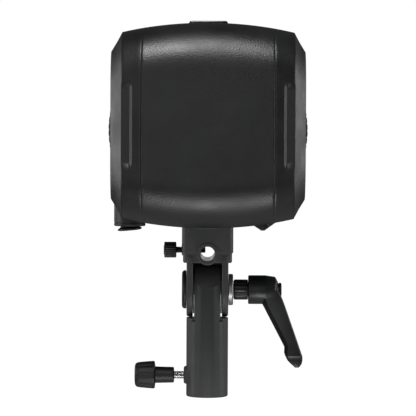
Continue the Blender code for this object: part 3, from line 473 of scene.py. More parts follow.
def settle(obj):
    """Apply every modifier."""
    bpy.context.view_layer.update()
    graph = bpy.context.evaluated_depsgraph_get()
    mesh = bpy.data.meshes.new_from_object(obj.evaluated_get(graph))
    old = obj.data
    obj.modifiers.clear()
    obj.data = mesh
    bpy.data.meshes.remove(old)
    return obj


def round_edges(obj, width, segments=3, angle=35):
    """Bevel on the edges that are sharper than the angle."""
    bevel = obj.modifiers.new("round", "BEVEL")
    bevel.width = width
    bevel.segments = segments
    bevel.limit_method = "ANGLE"
    bevel.angle_limit = math.radians(angle)
    bevel.harden_normals = True
    settle(obj)
    return smooth_again(obj)


def smooth_again(obj, angle=35):
    """Smooth shading up to an angle, set anew after a Boolean."""
    obj.data.shade_smooth()
    obj.data.set_sharp_from_angle(angle=math.radians(angle))
    return obj


def combine(target, other, operation):
    """Exact Boolean of two solids."""
    step = target.modifiers.new("boolean", "BOOLEAN")
    step.operation = operation
    step.solver = "EXACT"
    step.object = other
    settle(target)
    bpy.data.objects.remove(other, do_unlink=True)
    return smooth_again(target)


def cut(target, *cutters):
    """Take the cutters away from the target."""
    for cutter in cutters:
        combine(target, cutter, "DIFFERENCE")
    return target


def weld_on(target, *partners):
    """Join the partners onto the target."""
    for partner in partners:
        combine(target, partner, "UNION")
    return target


def rod(name, radius, low, high, surface, axis="Z", centre=(0, 0, 0), segments=64):
    """Plain cylinder between low and high on its axis."""
    return turned(name, [(low, 0), (low, radius), (high, radius), (high, 0)], surface, axis, centre, segments)


def grid_shell(name, rows, surface, angle=35):
    """Open surface through rows of points."""
    builder = bmesh.new()
    made = [[builder.verts.new(point) for point in row] for row in rows]
    for first, second in zip(made, made[1:]):
        for k in range(len(first) - 1):
            builder.faces.new((first[k], first[k + 1], second[k + 1], second[k]))
    bmesh.ops.remove_doubles(builder, verts=builder.verts, dist=1e-6)
    return from_bmesh(name, builder, surface, True, angle)


def place(obj, body, node, slot):
    """Ride on a body and stand for its CAD node; the finish slot is not used."""
    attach(obj, body)
    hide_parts(node)
    return obj


# ---------------------------------------------------------------- front cap

CAP_HALF = (CAP_HIGH.x - CAP_LOW.x) / 2
CAP_RISE = (CAP_HIGH.z - CAP_LOW.z) / 2
CAP_RIM = CAP_HIGH.y - 0.0002
CAP_WALL = 0.0024
CORNER_X = 0.0702
CORNER_Z = 0.0761
SIDE_Z = 0.0606
PANEL_X = 0.0532
STRIP_X = 0.0698
GRIP_X = 0.0611
GRIP_Z = 0.0332
GRIP_FLOOR = -0.1252
GRIP_SLOPE = 1.05
SHELL_INSET = 0.0052
ROLL = 0.036
SIDE_STEPS = 5
ROLL_STEPS = 22


def smoothstep(edge0, edge1, x):
    """Soft step from 0 to 1 between two edges."""
    t = max(0.0, min(1.0, (x - edge0) / (edge1 - edge0)))
    return t * t * (3 - 2 * t)


def cap_height(x):
    """Half-height of the cap's outline at x."""
    x = abs(x)
    rise = CAP_RISE - CORNER_Z
    radius = (CORNER_X**2 + rise**2) / (2 * rise)
    if x <= CORNER_X:
        return CAP_RISE - radius + math.sqrt(radius**2 - x**2)
    return CORNER_Z + (SIDE_Z - CORNER_Z) * (x - CORNER_X) / (CAP_HALF - CORNER_X)


def grip_depth(x, z, surface_y, grow):
    """Depth of a grip recess: steep walls down to a flat floor, open at its outer side."""
    soft = 0.0030
    across = GRIP_X - grow + soft - abs(x)
    up = abs(z) - (GRIP_Z + grow - soft)
    outside = math.hypot(max(across, 0), max(up, 0)) + min(max(across, up), 0) - soft
    return min(max(0.0, -outside * GRIP_SLOPE), max(0.0, GRIP_FLOOR + grow - surface_y))


def crease(x, middle, width, depth):
    """Depth of a V-shaped groove on both sides of the middle."""
    return depth * max(0.0, 1 - abs(abs(x) - middle) / width)


def cap_plan():
    """Plan of the front from the centre to the rim: (x, y) with soft corners."""
    front = CAP_LOW.y
    corners = [
        (0, front),
        (PANEL_X, front + 0.0001),
        (STRIP_X, front + 0.0041),
        (CAP_HALF, -0.1000),
        (CAP_HALF, CAP_RIM),
    ]
    return softened(corners, [0, 0.0015, 0.0009, 0.0030, 0], 4)


def spread(points, step, low=-1.0, high=math.inf):
    """Points along a polyline, no further apart than step where |x| lies between low and high."""
    dense = [points[0]]
    for (x0, y0), (x1, y1) in zip(points, points[1:]):
        inside = low < abs(x0 + x1) / 2 < high
        parts = max(1, math.ceil(math.hypot(x1 - x0, y1 - y0) / step)) if inside else 1
        dense += [(x0 + (x1 - x0) * k / parts, y0 + (y1 - y0) * k / parts) for k in range(1, parts + 1)]
    return dense


def front_rows():
    """Fractions along the flat front, closer together at the grips' ends."""
    flat = CAP_RISE - ROLL
    stations = [flat * k / 16 for k in range(-16, 17)]
    for side in (-1, 1):
        stations += [side * (GRIP_Z + 0.0006 - 0.00045 * k) for k in range(12)]
    return sorted(set(round(s / flat, 5) for s in stations))


def cap_surface(name, inset, surface):
    """Front of the cap from rim to rim, set in by the given amount."""
    plan = spread(cap_plan(), 0.0022)
    plan = spread(plan, 0.0004, PANEL_X - 0.0014, PANEL_X + 0.0014)
    plan = spread(plan, 0.0003, GRIP_X - 0.0012, GRIP_X + 0.0035)
    plan = spread(plan, 0.0003, STRIP_X - 0.0016, STRIP_X + 0.0016)
    plan = [(-x, y) for x, y in reversed(plan[1:])] + plan
    rows_front = front_rows()
    columns = []
    for x, y in plan:
        scale = (CAP_HALF - inset) / CAP_HALF
        top = cap_height(x) - inset
        start = min(y + inset, CAP_RIM)
        reach = min(ROLL - inset, CAP_RIM - start)
        roll_z = (ROLL - inset) * (0.35 + 0.65 * smoothstep(0, ROLL * 0.7, reach))
        groove = crease(x, PANEL_X + 0.0004, 0.0008, 0.0005) if inset == 0 else 0.0
        edge = [(CAP_RIM + (start + reach - CAP_RIM) * k / SIDE_STEPS, top) for k in range(SIDE_STEPS)]
        for k in range(ROLL_STEPS):
            angle = HALF_PI * k / ROLL_STEPS
            edge.append(
                (start + reach * (1 - math.sin(angle)) + groove, top - roll_z * (1 - math.cos(angle)))
            )
        column = [(y, -z) for y, z in edge]
        for f in rows_front:
            z = f * (top - roll_z)
            column.append((start + groove + grip_depth(x, z, start, inset), z))
        column += reversed(edge)
        columns.append([(x * scale, y, CAP_Z + z) for y, z in column])
    return grid_shell(name, columns, surface, 40)


def front_cap():
    """Outer skin, inner skin, the rim between them and the round collar that plugs into the lock ring."""
    outer = cap_surface("cap_shell", 0.0, CAP_PLASTIC)
    inner = cap_surface("cap_inner", CAP_WALL, CAP_PLASTIC)
    builder = bmesh.new()
    loops = [
        [builder.verts.new((x, CAP_RIM, z)) for x, z in head_outline(inset)] for inset in (0.0, CAP_WALL)
    ]
    join_loops(builder, loops, closed=False)
    rim = from_bmesh("cap_rim", builder, CAP_PLASTIC)
    flange = CAP_RIM - CAP_WALL
    collar = [
        (flange, 0.0641), (flange, 0.0772), (CAP_RIM, 0.0772), (CAP_RIM, 0.0670),
        (CAP_RIM + 0.0004, 0.0666),
    ]
    collar += [(-0.0781, 0.0666), (-0.0773, 0.0663), (-0.0770, 0.0656), (-0.0770, 0.0645), (-0.0774, 0.0641)]
    ring = turned("cap_collar", collar, CAP_PLASTIC, "Y", (0, 0, AXIS_Z), 160)
    for obj in (outer, inner, rim, ring):
        place(obj, "front_cap", "front_cap", "cap_plastic")


# ---------------------------------------------------------------- ring, frame and plunger

AT_RING = (0, 0, AXIS_Z)
RING_LOW, RING_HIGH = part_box("lock_ring")
RING_BORE = 0.0672
RING_EDGE = 0.0012
RING_RIBS = 90
TAB_TILT = math.radians(37)
TAB_HALF = 0.0143
TAB_REACH = 0.0942
TAB_ROOT = 0.0760


def tilted(x, z):
    """A place given in the thumb tab's own directions, turned with the tab about the ring's axis."""
    return (
        x * math.cos(TAB_TILT) - z * math.sin(TAB_TILT),
        AXIS_Z + x * math.sin(TAB_TILT) + z * math.cos(TAB_TILT),
    )


def lock_ring():
    """Bayonet ring with a ribbed rim, and its thumb tab with four grip grooves."""
    front, rear, outer = RING_LOW.y, RING_HIGH.y, RING_HIGH.x
    profile = [(front, RING_BORE)]
    profile += arc((front + RING_EDGE, outer - RING_EDGE), RING_EDGE, math.pi, HALF_PI, 5)
    profile += arc((rear - RING_EDGE, outer - RING_EDGE), RING_EDGE, HALF_PI, 0, 5)
    profile.append((rear, RING_BORE))

    def ribs(angle, along, radius):
        if radius < outer - RING_EDGE:
            return radius
        return radius - 0.00045 * max(0, math.cos(RING_RIBS * angle)) ** 3

    ring = turned("ring_body", profile, RING_PLASTIC, "Y", AT_RING, 720, ribs)
    wide = TAB_HALF + 0.006
    outline = [(-wide, -TAB_ROOT), (-TAB_HALF, -TAB_REACH), (TAB_HALF, -TAB_REACH), (wide, -TAB_ROOT)]
    world = [tilted(x, z) for x, z in softened(outline, 0.0016, 4)]
    world = [(x, max(z, RING_LOW.z)) for x, z in world]
    tab = prism("ring_tab", world, front + 0.0012, rear - 0.0012, RING_PLASTIC)
    round_edges(tab, 0.0009, 3, 50)
    for k in range(4):
        x, z = tilted(-0.0075 + 0.005 * k, -0.089)
        groove = rod("groove", 0.0011, -0.008, 0.008, RING_PLASTIC, "Z", (0, 0, 0), 16)
        turn = Matrix.Rotation(TAB_TILT, 4, "Y").inverted()
        groove.data.transform(Matrix.Translation((x, front + 0.0004, z)) @ turn)
        cut(tab, groove)
    place(ring, "lock_ring", "lock_ring", "shell_plastic")
    place(tab, "lock_ring", "lock_ring", "shell_plastic")


def release_plunger():
    """Mushroom button of the release pin, a little skewed on its stem."""
    low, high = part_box("release_plunger")
    x, y = (low.x + high.x) / 2, (low.y + high.y) / 2
    flare = (high.x - low.x) / 2
    profile = at(low.z, (0, 0), (0.0001, flare * 0.80))
    profile += arc((low.z + 0.0012, flare - 0.0009), 0.0009, math.pi * 1.05, 0.42, 6)
    profile += at(low.z, (0.0030, 0.0079), (0.0036, 0.0076), (0.0099, 0.0076), (0.0099, 0.0036))
    profile += at(high.z, (0, 0.0030), (0, 0))
    button = turned("plunger_button", profile, RING_PLASTIC, "Z", (x, y, 0), 96)
    for vertex in button.data.vertices:
        share = 1 - smoothstep(low.z + 0.0028, low.z + 0.0042, vertex.co.z)
        vertex.co.z += 0.0009 * share * (vertex.co.x - low.x) / flare
    place(button, "release_plunger", "release_plunger", "shell_plastic")


HUB_BORE = 0.0602
PLATE_FRONT = RING_HIGH.y + 0.0003


def mount_frame():
    """Front plate of the head, the hub that carries the ring, and the release pin's boss."""
    low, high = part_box("mount_frame")
    edge = 0.0010
    outline = head_outline(SHELL_INSET)
    steps = [(PLATE_FRONT, head_outline(SHELL_INSET + edge)), (PLATE_FRONT + edge, outline)]
    plate = loft("frame_plate", steps + [(high.y - 0.0002, outline)], SHELL_PLASTIC)
    cut(
        plate,
        rod("hub_opening", HUB_BORE, PLATE_FRONT - 0.01, high.y + 0.01, SHELL_PLASTIC, "Y", AT_RING, 96),
    )
    hub = [(-0.0835, HUB_BORE), (-0.0835, 0.0630), (-0.0831, 0.0634), (-0.0700, 0.0634), (-0.0700, HUB_BORE)]
    hub = turned("frame_hub", hub, SHELL_PLASTIC, "Y", AT_RING, 96)
    radius = 0.01295
    profile = at(low.z, (0.006, 0.0079), (0, 0.0079), (0, radius - 0.0010))
    profile += arc((low.z + 0.0009, radius - 0.0009), 0.0009, math.pi, HALF_PI, 5)
    profile += at(
        low.z, (0.0022, radius), (0.0024, radius - 0.0003), (0.0030, radius - 0.0003), (0.0032, radius),
    )
    profile += [(0.1701, radius), (0.1709, radius - 0.0004), (0.1715, radius - 0.0012), (0.1715, 0)]
    boss = turned("frame_boss", profile, SHELL_PLASTIC, "Z", (*PLUNGER, 0), 96)
    rear = PLATE_FRONT - 0.0001
    room = [(-0.0875, 0.0650), (-0.0875, 0.0821), (rear, 0.0821), (rear, 0.0650)]
    cut(boss, turned("ring_room", room, SHELL_PLASTIC, "Y", AT_RING, 128))
    for obj in (plate, hub, boss):
        place(obj, "head", "mount_frame", "shell_plastic")


def sensor_window():
    """Dark dome on top of the head, square at its foot and rounded above."""
    low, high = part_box("slave_sensor_window")
    outline = rounded_box_outline(low.xz, high.xz, [0, 0, 0.0026, 0.0026])
    window = prism("sensor_dome", outline, low.y, high.y, DARK_WINDOW)
    round_edges(window, 0.0010, 4, 50)
    place(window, "head", "slave_sensor_window", "window_plastic")


# ---------------------------------------------------------------- housing

def head_outline(inset, steps=24):
    """Outline of the head across Y, with its long top and bottom bows and softened corners."""
    side = CAP_HALF - inset
    corner_x = CORNER_X - inset * 0.55
    corner_z = CORNER_Z - inset * 0.90
    side_z = SIDE_Z - inset * 0.25
    rise = CAP_RISE - inset - corner_z
    radius = (corner_x**2 + rise**2) / (2 * rise)
    top = []
    for k in range(steps + 1):
        x = corner_x * (1 - 2 * k / steps)
        top.append((x, CAP_RISE - inset - radius + math.sqrt(radius**2 - x**2)))
    ring = top + [
        (-side, side_z), (-side, -side_z),
    ] + [(x, -z) for x, z in reversed(top)] + [(side, -side_z), (side, side_z)]
    sizes = [0.0] * len(ring)
    for k in (0, steps, steps + 1, steps + 2, steps + 3, 2 * steps + 3, 2 * steps + 4, 2 * steps + 5):
        sizes[k] = 0.0030
    return [(x, CAP_Z + z) for x, z in softened(ring, sizes, 4, True)]


TAPER_START = 0.088
SEAM_GAP = 0.00015
SEAM_LIP = 0.0012
UPPER_VENTS = (0.252, 0.276)
LOWER_VENTS = (0.186, 0.210)


def shell_sections(extra, reach):
    """Sections of the head's shell from front to rear: its skin, or its hollow when extra is its wall."""
    low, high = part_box("housing_upper")
    edge = 0.0009
    inset = SHELL_INSET + extra
    start = [(low.y - reach, head_outline(inset))]
    if not extra:
        start = [(low.y, head_outline(inset + edge)), (low.y + edge, head_outline(inset))]
    middle = [(TAPER_START - 0.006, head_outline(inset)), (TAPER_START, head_outline(inset + 0.0006))]
    end_inset = PANEL_INSET + extra
    end = [(high.y - edge, head_outline(end_inset - 0.0003))]
    end.append((high.y + reach, head_outline(end_inset if extra else end_inset + edge)))
    return start + middle + end


def housings():
    """Two vented half shells that meet in a shadow groove, and the pad that the bracket is screwed to."""
    for upper in (True, False):
        name = "housing_upper" if upper else "housing_lower"
        shell = loft(name + "_skin", shell_sections(0, 0), SHELL_PLASTIC)
        cut(shell, loft("hollow", shell_sections(0.0030, 0.01), SHELL_PLASTIC))
        removed = (0.1, AXIS_Z + SEAM_GAP) if upper else (AXIS_Z - SEAM_GAP, 0.4)
        cut(shell, block("half", (-0.1, -0.09, removed[0]), (0.1, 0.15, removed[1]), SHELL_PLASTIC))
        groove = (AXIS_Z - 0.001, AXIS_Z + SEAM_LIP) if upper else (AXIS_Z - SEAM_LIP - 0.001, AXIS_Z + 0.001)
        for side in (-1, 1):
            x = span(side, CAP_HALF - SHELL_INSET - 0.0008, 0.09)
            cut(shell, block("seam", (x[0], -0.09, groove[0]), (x[1], 0.15, groove[1]), SHELL_PLASTIC))
            vents(shell, side, UPPER_VENTS if upper else LOWER_VENTS)
        smooth_again(shell)
        place(shell, "head", name, "shell_plastic")
    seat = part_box("bracket_block")[1].z + 0.0003
    pad = block("bracket_pad", (-0.026, -0.036, seat), (0.026, 0.050, 0.1575), SHELL_PLASTIC, 0.0012)
    place(pad, "head", "housing_lower", "shell_plastic")


def vents(shell, side, height):
    """Six slots through one side of a shell."""
    x = span(side, 0.060, 0.090)
    for k in range(6):
        y = -0.030 + 0.0125 * k
        slot = rounded_box_outline((y, height[0]), (y + 0.004, height[1]), 0.0019, 4)
        cut(shell, prism("vent", slot, x[0], x[1], SHELL_PLASTIC, "X"))


# ---------------------------------------------------------------- rear panel and its controls

PANEL_INSET = SHELL_INSET + 0.0088
CUT_FROM = 0.10
CUT_TO = 0.13
USB_FLOOR = 0.1080
ENGRAVING = 0.0004
JACK = (0.048, 0, 0.223)
# low x, high x, low z, high z, corner radius: display, rocker, inlet, fuse drawer and socket
PANEL_HOLES = (
    (-0.0340, 0.0340, 0.2390, 0.2770, 0.0014),
    (0.0305, 0.0495, 0.1755, 0.1925, 0.0008),
    (-0.0545, -0.0255, 0.1720, 0.1940, 0.0010),
    (-0.0125, 0.0125, 0.1660, 0.1780, 0.0008),
    (0.0428, 0.0532, 0.2015, 0.2065, 0.0010),
)
DISPLAY_BED = 0.1149


def rear_panel():
    """Flat plate with a rounded rim, a sunk display bed, cut-outs for the controls and engraved marks."""
    low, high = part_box("rear_panel")
    edge = 0.0008
    steps = (
        (low.y, 0.0002), (high.y - edge, 0.0002), (high.y - edge * 0.3, edge * 0.4), (high.y, edge * 1.3),
    )
    panel = loft("panel_plate", [(y, head_outline(PANEL_INSET + inset)) for y, inset in steps], SHELL_PLASTIC)
    holes = []
    for x0, x1, z0, z1, radius in PANEL_HOLES:
        start = CUT_FROM if holes else DISPLAY_BED
        holes.append(
            prism(
                "panel_hole", rounded_box_outline((x0, z0), (x1, z1), radius, 5), start, CUT_TO,
                SHELL_PLASTIC,
            )
        )
    engraved = high.y - ENGRAVING
    holes.append(panel_bore("dial_cut", 0.0030, DIAL_AXIS.x, DIAL_AXIS.z, 32))
    holes.append(panel_bore("jack_cut", 0.0048, JACK[0], JACK[2]))
    holes += [panel_bore("button_cut", 0.0042, x, BUTTON_Z) for x in BUTTON_X]
    for x, z in SCREW_PLACES:
        holes.append(panel_bore("screw_cut", 0.0019, x, z, 32))
        holes.append(panel_bore("screw_seat", 0.0042, x, z, 48, high.y - 0.0005))
    ring = [(engraved, 0.0180), (high.y + 0.001, 0.0180), (high.y + 0.001, 0.0186), (engraved, 0.0186)]
    holes.append(turned("dial_ring", ring, SHELL_PLASTIC, "Y", (0, 0, DIAL_AXIS.z), 96))
    for side in (-1, 1):
        x = span(side, 0.0400, 0.0404)
        holes.append(block("rule", (x[0], engraved, 0.2120), (x[1], CUT_TO, 0.2340), SHELL_PLASTIC))
    for x0, x1 in ((-0.0400, -0.0200), (0.0200, 0.0400)):
        holes.append(block("rule", (x0, engraved, 0.2118), (x1, CUT_TO, 0.2122), SHELL_PLASTIC))
    for k in range(11):
        tick = block("tick", (-0.0002, engraved, 0.0193), (0.0002, CUT_TO, 0.0208), SHELL_PLASTIC)
        turn = Matrix.Rotation(math.radians(-135 + 27 * k), 4, "Y")
        tick.data.transform(Matrix.Translation((0, 0, DIAL_AXIS.z)) @ turn)
        holes.append(tick)
    cut(panel, *holes)
    place(panel, "head", "rear_panel", "shell_plastic")


def panel_bore(name, radius, x, z, segments=48, start=CUT_FROM):
    """Cutter for a round hole in the rear panel."""
    return rod(name, radius, start, CUT_TO, SHELL_PLASTIC, "Y", (x, 0, z), segments)


def display():
    """Cell layer under a smoked window with a thin rounded edge."""
    low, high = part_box("display_window")
    outline = rounded_box_outline(
        (low.x + 0.0014, low.z + 0.0012), (high.x - 0.0014, high.z - 0.0012), 0.0010, 5,
    )
    backing = prism("display_backing", outline, low.y, low.y + 0.0007, LCD)
    place(backing, "head", "display_window", "display_glass")
    steps = ((low.y + 0.0009, 0.0001), (high.y - 0.0004, 0.0001), (high.y - 0.0001, 0.0003), (high.y, 0.0007))
    glass = loft("display_glass", box_steps(low.xz, high.xz, steps, 0.0013), SMOKED_GLASS)
    place(glass, "head", "display_window", "display_glass")


def buttons():
    """Four rubber keys with a dished top."""
    for label, x in zip(("menu", "lamp", "sound", "test"), BUTTON_X):
        node = "button_" + label
        low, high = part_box(node)
        reach = 0.0038
        profile = at(low.y, (0, 0), (0, 0.0053), (0.0019, 0.0053), (0.0020, reach))
        profile += [(high.y - 0.0008, reach)]
        profile += arc((high.y - 0.0008, reach - 0.0008), 0.0008, HALF_PI, 0.2, 5)
        profile += at(high.y, (-0.0001, 0.0024), (-0.0004, 0.0014), (-0.0005, 0))
        place(turned(node + "_cap", profile, RUBBER, "Y", (x, 0, BUTTON_Z), 64), node, node, "button_rubber")


SKIRT = 0.1178


def control_dial():
    """Knurled dial with a painted pointer let into its face."""
    low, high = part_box("control_dial")
    wide = (high.x - low.x) / 2
    profile = at(low.y, (0, 0), (0, 0.0026))
    profile += at(
        SKIRT, (0, 0.0026), (0, wide - 0.0010), (0.0003, wide - 0.0003), (0.0009, wide),
        (0.0018, wide - 0.0001),
    )
    profile += at(high.y, (-0.0016, wide - 0.0009), (-0.0007, wide - 0.0013), (-0.0001, wide - 0.0024))
    profile += at(
        high.y, (0, wide - 0.0036), (-0.0003, wide - 0.0042), (-0.0006, wide - 0.0060), (-0.0007, 0),
    )

    def knurl(angle, along, radius):
        if radius < wide - 0.0014 or along < SKIRT + 0.0016:
            return radius
        return radius - 0.0007 * (0.5 - 0.5 * math.cos(30 * angle)) ** 1.5

    dial = turned("dial_knob", profile, KNOB_PLASTIC, "Y", (0, 0, DIAL_AXIS.z), 360, knurl)
    floor = high.y - 0.0011
    slot_low, slot_high = (-0.0005, floor, DIAL_AXIS.z + 0.0062), (
        0.0005, high.y + 0.001, DIAL_AXIS.z + 0.0125,
    )
    cut(dial, block("dial_mark", slot_low, slot_high, KNOB_PLASTIC))
    paint_low = (-0.00045, floor, DIAL_AXIS.z + 0.0063)
    paint_high = (0.00045, high.y - 0.0007, DIAL_AXIS.z + 0.0123)
    mark = block("dial_paint", paint_low, paint_high, PALE_PAINT)
    for obj in (dial, mark):
        place(obj, "control_dial", "control_dial", "knob_plastic")


def power_rocker():
    """Rocker with a dipped top and a sunk bar on its pressed-out half."""
    low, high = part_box("power_rocker")
    outline = [low.xy, (high.x, low.y), (high.x - 0.0006, high.y), (0.0400, 0.1178), (low.x + 0.0006, 0.1188)]
    outline = softened(outline, [0, 0, 0.0009, 0.0060, 0.0009], 5, True)
    body = prism("rocker_body", outline, low.z, high.z, KNOB_PLASTIC, "Z")
    round_edges(body, 0.0004, 2, 60)
    cut(body, block("rocker_bar", (0.0440, 0.1100, 0.1812), (0.0445, high.y + 0.001, 0.1868), KNOB_PLASTIC))
    place(body, "power_rocker", "power_rocker", "window_plastic")


INLET_X = -0.0400
INLET_FLOOR = 0.0985
PIN_PLACES = ((INLET_X - 0.0070, 0.1810), (INLET_X, 0.1850), (INLET_X + 0.0070, 0.1810))


def mains_inlet():
    """Flanged inlet with a chamfered pocket, three flat pins and two rivets."""
    low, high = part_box("mains_inlet")
    steps = ((0.1178, 0.0001), (high.y - 0.0006, 0.0001), (high.y - 0.0001, 0.0004), (high.y, 0.0009))
    body = loft("inlet_flange", box_steps(low.xz, high.xz, steps, 0.0032, 6), INLET_PLASTIC)
    neck = rounded_box_outline((-0.0541, 0.1724), (-0.0259, 0.1936), 0.0012)
    weld_on(body, prism("inlet_neck", neck, low.y + 0.0001, high.y - 0.0003, INLET_PLASTIC))
    pocket = [(-0.0520, 0.1745), (-0.0280, 0.1745), (-0.0280, 0.1868)]
    pocket += [(-0.0325, 0.1915), (-0.0475, 0.1915), (-0.0520, 0.1868)]
    cut(body, prism("inlet_pocket", softened(pocket, 0.0012, 3, True), INLET_FLOOR, CUT_TO, INLET_PLASTIC))
    place(body, "head", "mains_inlet", "shell_plastic")
    for x, z in PIN_PLACES:
        pin_low, pin_high = (x - 0.0010, INLET_FLOOR + 0.0001, z - 0.0020), (x + 0.0010, 0.1130, z + 0.0020)
        place(block("inlet_pin", pin_low, pin_high, POLISHED, 0.0005), "head", "mains_inlet", "bare_steel")
    for x in (-0.0550, -0.0250):
        head = at(high.y, (-0.0006, 0), (-0.0006, 0.0010), (-0.0001, 0.0009), (-0.0001, 0))
        rivet = turned("inlet_rivet", head, BLACK_STEEL, "Y", (x, 0, 0.1830), 32)
        place(rivet, "head", "mains_inlet", "shell_plastic")


def fuse_drawer():
    """Small drawer with a fuse pocket and a finger notch."""
    low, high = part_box("fuse_drawer")
    body = block("drawer_body", low, high, INLET_PLASTIC, 0.0005)
    cut(body, block("fuse_pocket", (-0.0100, 0.1000, 0.1690), (0.0100, 0.1150, 0.1900), INLET_PLASTIC))
    notch_axis = (0, high.y + 0.0029, low.z + 0.0040)
    cut(body, rod("finger_notch", 0.0040, -0.0045, 0.0045, INLET_PLASTIC, "X", notch_axis, 48))
    place(body, "fuse_drawer", "fuse_drawer", "shell_plastic")


def sockets():
    """Turned sync jack, and the USB shell with its tongue."""
    low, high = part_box("sync_jack")
    jack = at(low.y, (0, 0.0020), (0, 0.0042))
    jack += [(0.1176, 0.0042), (0.1177, 0.0045)]
    jack += at(high.y, (-0.0002, 0.0045), (0, 0.0043))
    jack += at(high.y, (0, 0.0032), (-0.0005, 0.0028), (-0.0006, 0.0021), (-0.0012, 0.0020))
    place(turned("jack_sleeve", jack, POLISHED, "Y", JACK, 96), "head", "sync_jack", "bare_steel")
    low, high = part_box("usb_port")
    shell = loft("usb_shell", box_steps(low.xz, high.xz, ((low.y, 0), (high.y, 0)), 0.0016, 6), BARE_STEEL)
    pocket = box_steps(low.xz, high.xz, ((USB_FLOOR, 0.0006), (CUT_TO, 0.0006)), 0.0012, 6)
    cut(shell, loft("usb_pocket", pocket, BARE_STEEL))
    place(shell, "head", "usb_port", "bare_steel")
    near, far = (low.x + 0.0014, USB_FLOOR, 0.2036), (high.x - 0.0014, high.y - 0.0012, 0.2044)
    tongue = block("usb_tongue", near, far, KNOB_PLASTIC)
    place(tongue, "head", "usb_port", "bare_steel")


def panel_screws():
    """Cross-recessed screws, each stopped at its own turn."""
    for k, (x, z) in enumerate(SCREW_PLACES):
        node = "panel_screw_%d" % (k + 1)
        low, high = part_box(node)
        head = at(low.y, (0, 0), (0, 0.0014))
        head += [(0.1170, 0.0014), (0.1171, 0.0029), (0.1176, 0.0030), (high.y - 0.0004, 0.0026)]
        head += at(high.y, (-0.0001, 0.0018), (0, 0.0008), (0, 0))
        screw = turned("screw_head", head, BLACK_STEEL, "Y", (x, 0, z), 64)
        for turn in (0.3 + k, 0.3 + k + HALF_PI):
            near, far = (-0.00035, high.y - 0.0010, -0.0016), (0.00035, high.y + 0.001, 0.0016)
            bar = block("recess", near, far, BLACK_STEEL)
            bar.data.transform(Matrix.Translation((x, 0, z)) @ Matrix.Rotation(turn, 4, "Y"))
            cut(screw, bar)
        place(screw, "head", node, "black_steel")


# ---------------------------------------------------------------- lamp and inner parts

REFLECTOR_BORE = 0.0601
DOME_WALL = 0.0022
DOME_RIM = -0.0824
DOME_RISE = 0.0176
DOME_RADIUS = 0.0560
DOME_SQUEEZE = 0.985
DOME_STEPS = 24


def lamp_piece(name, profile, surface, segments, node, slot):
    """Piece of the lamp group, turned about the axis of the head."""
    place(turned(name, profile, surface, "Y", AT_RING, segments), "head", node, slot)


def lamp():
    """Reflector dish, ceramic base, modelling lamp and glass dome, all turned about the head's axis."""
    brim = REFLECTOR_BORE - 0.0002
    dish = [
        (-0.0760, 0.0181), (-0.0760, 0.0440), (-0.0764, 0.0452), (-0.0798, brim - 0.0004),
        (-0.0799, brim),
    ]
    dish += [(-0.0786, brim), (-0.0746, 0.0449), (-0.0746, 0.0181)]
    lamp_piece("reflector_dish", dish, MIRROR, 160, "reflector_plate", "reflector_metal")
    base = [(-0.0742, 0.0182), (-0.0742, 0.0432), (-0.0738, 0.0439)]
    base += [(-0.0644, 0.0439), (-0.0640, 0.0435), (-0.0640, 0.0182)]
    lamp_piece("ceramic_base", base, CERAMIC, 128, "lamp_base", "ceramic_white")
    led = [(-0.0745, 0), (-0.0745, 0.0175), (-0.0777, 0.0175), (-0.0780, 0.0172), (-0.0790, 0.0149)]
    led += [
        (-0.0812, 0.0134), (-0.0830, 0.0119), (-0.0848, 0.0097), (-0.0860, 0.0069), (-0.0867, 0.0036),
        (-0.0870, 0),
    ]
    lamp_piece("led_lens", led, LAMP_LENS, 96, "modelling_lamp", "lamp_lens")
    angles = [HALF_PI * k / DOME_STEPS for k in range(DOME_STEPS)]
    rise, radius = DOME_RISE - DOME_WALL, DOME_RADIUS - DOME_WALL
    profile = [(DOME_RIM - DOME_RISE + DOME_WALL, 0)]
    profile += [
        (DOME_RIM - rise * math.sin(a), radius * math.cos(a) * DOME_SQUEEZE) for a in reversed(angles)
    ]
    profile += [(-0.0803, radius * DOME_SQUEEZE), (-0.0800, 0.0584), (-0.0804, 0.0588), (DOME_RIM, 0.0588)]
    for a in angles:
        along = DOME_RIM - DOME_RISE * DOME_SQUEEZE * math.sin(a)
        profile.append((along, DOME_RADIUS * math.cos(a) * DOME_SQUEEZE))
    profile.append((DOME_RIM - DOME_RISE * DOME_SQUEEZE, 0))
    lamp_piece("dome_bowl", profile, CLEAR_GLASS, 128, "glass_dome", "clear_glass")


KEPT_FINISH = {
    "flash_tube": FROSTED,
    "heat_sink": ALUMINIUM,
    "fan_frame": SHELL_PLASTIC,
    "fan_rotor": KNOB_PLASTIC,
    "capacitor_1": SLEEVE,
    "capacitor_2": SLEEVE,
    "capacitor_3": SLEEVE,
    "capacitor_bracket": ZINC,
    "power_board": BOARD,
    "control_board": BOARD,
    "trigger_transformer": TAPE,
    "pivot_bolt": BARE_STEEL,
    "lever_screw": BARE_STEEL,
    "lever_spring": BARE_STEEL,
    "plunger_spring": BARE_STEEL,
    "bracket_screw_front": BARE_STEEL,
    "bracket_screw_rear": BARE_STEEL,
}


def finish_kept_nodes():
    """Give the CAD nodes that stay in view their own procedural finish."""
    for node, finish in KEPT_FINISH.items():
        obj = frame["nodes"][node]
        for slot in obj.material_slots:
            slot.material = finish


# ---------------------------------------------------------------- bracket and receiver

PIVOT_YZ = (PIVOT.y, PIVOT.z)
AT_PIVOT = (0, PIVOT.y, PIVOT.z)
BRACKET_LOW, BRACKET_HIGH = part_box("bracket_block")
BRACKET_FRONT = BRACKET_LOW.y + 0.0008
BRACKET_REAR = BRACKET_HIGH.y - 0.0008
BLOCK_BOTTOM = 0.1153
LIP_Z = 0.1236
LIP_INSET = 0.0010
ARM_INNER = 0.01245
ARM_OUTER = 0.0178
BOLT_HOLE = 0.0048
AT_UMBRELLA = (0, 0, UMBRELLA.z)


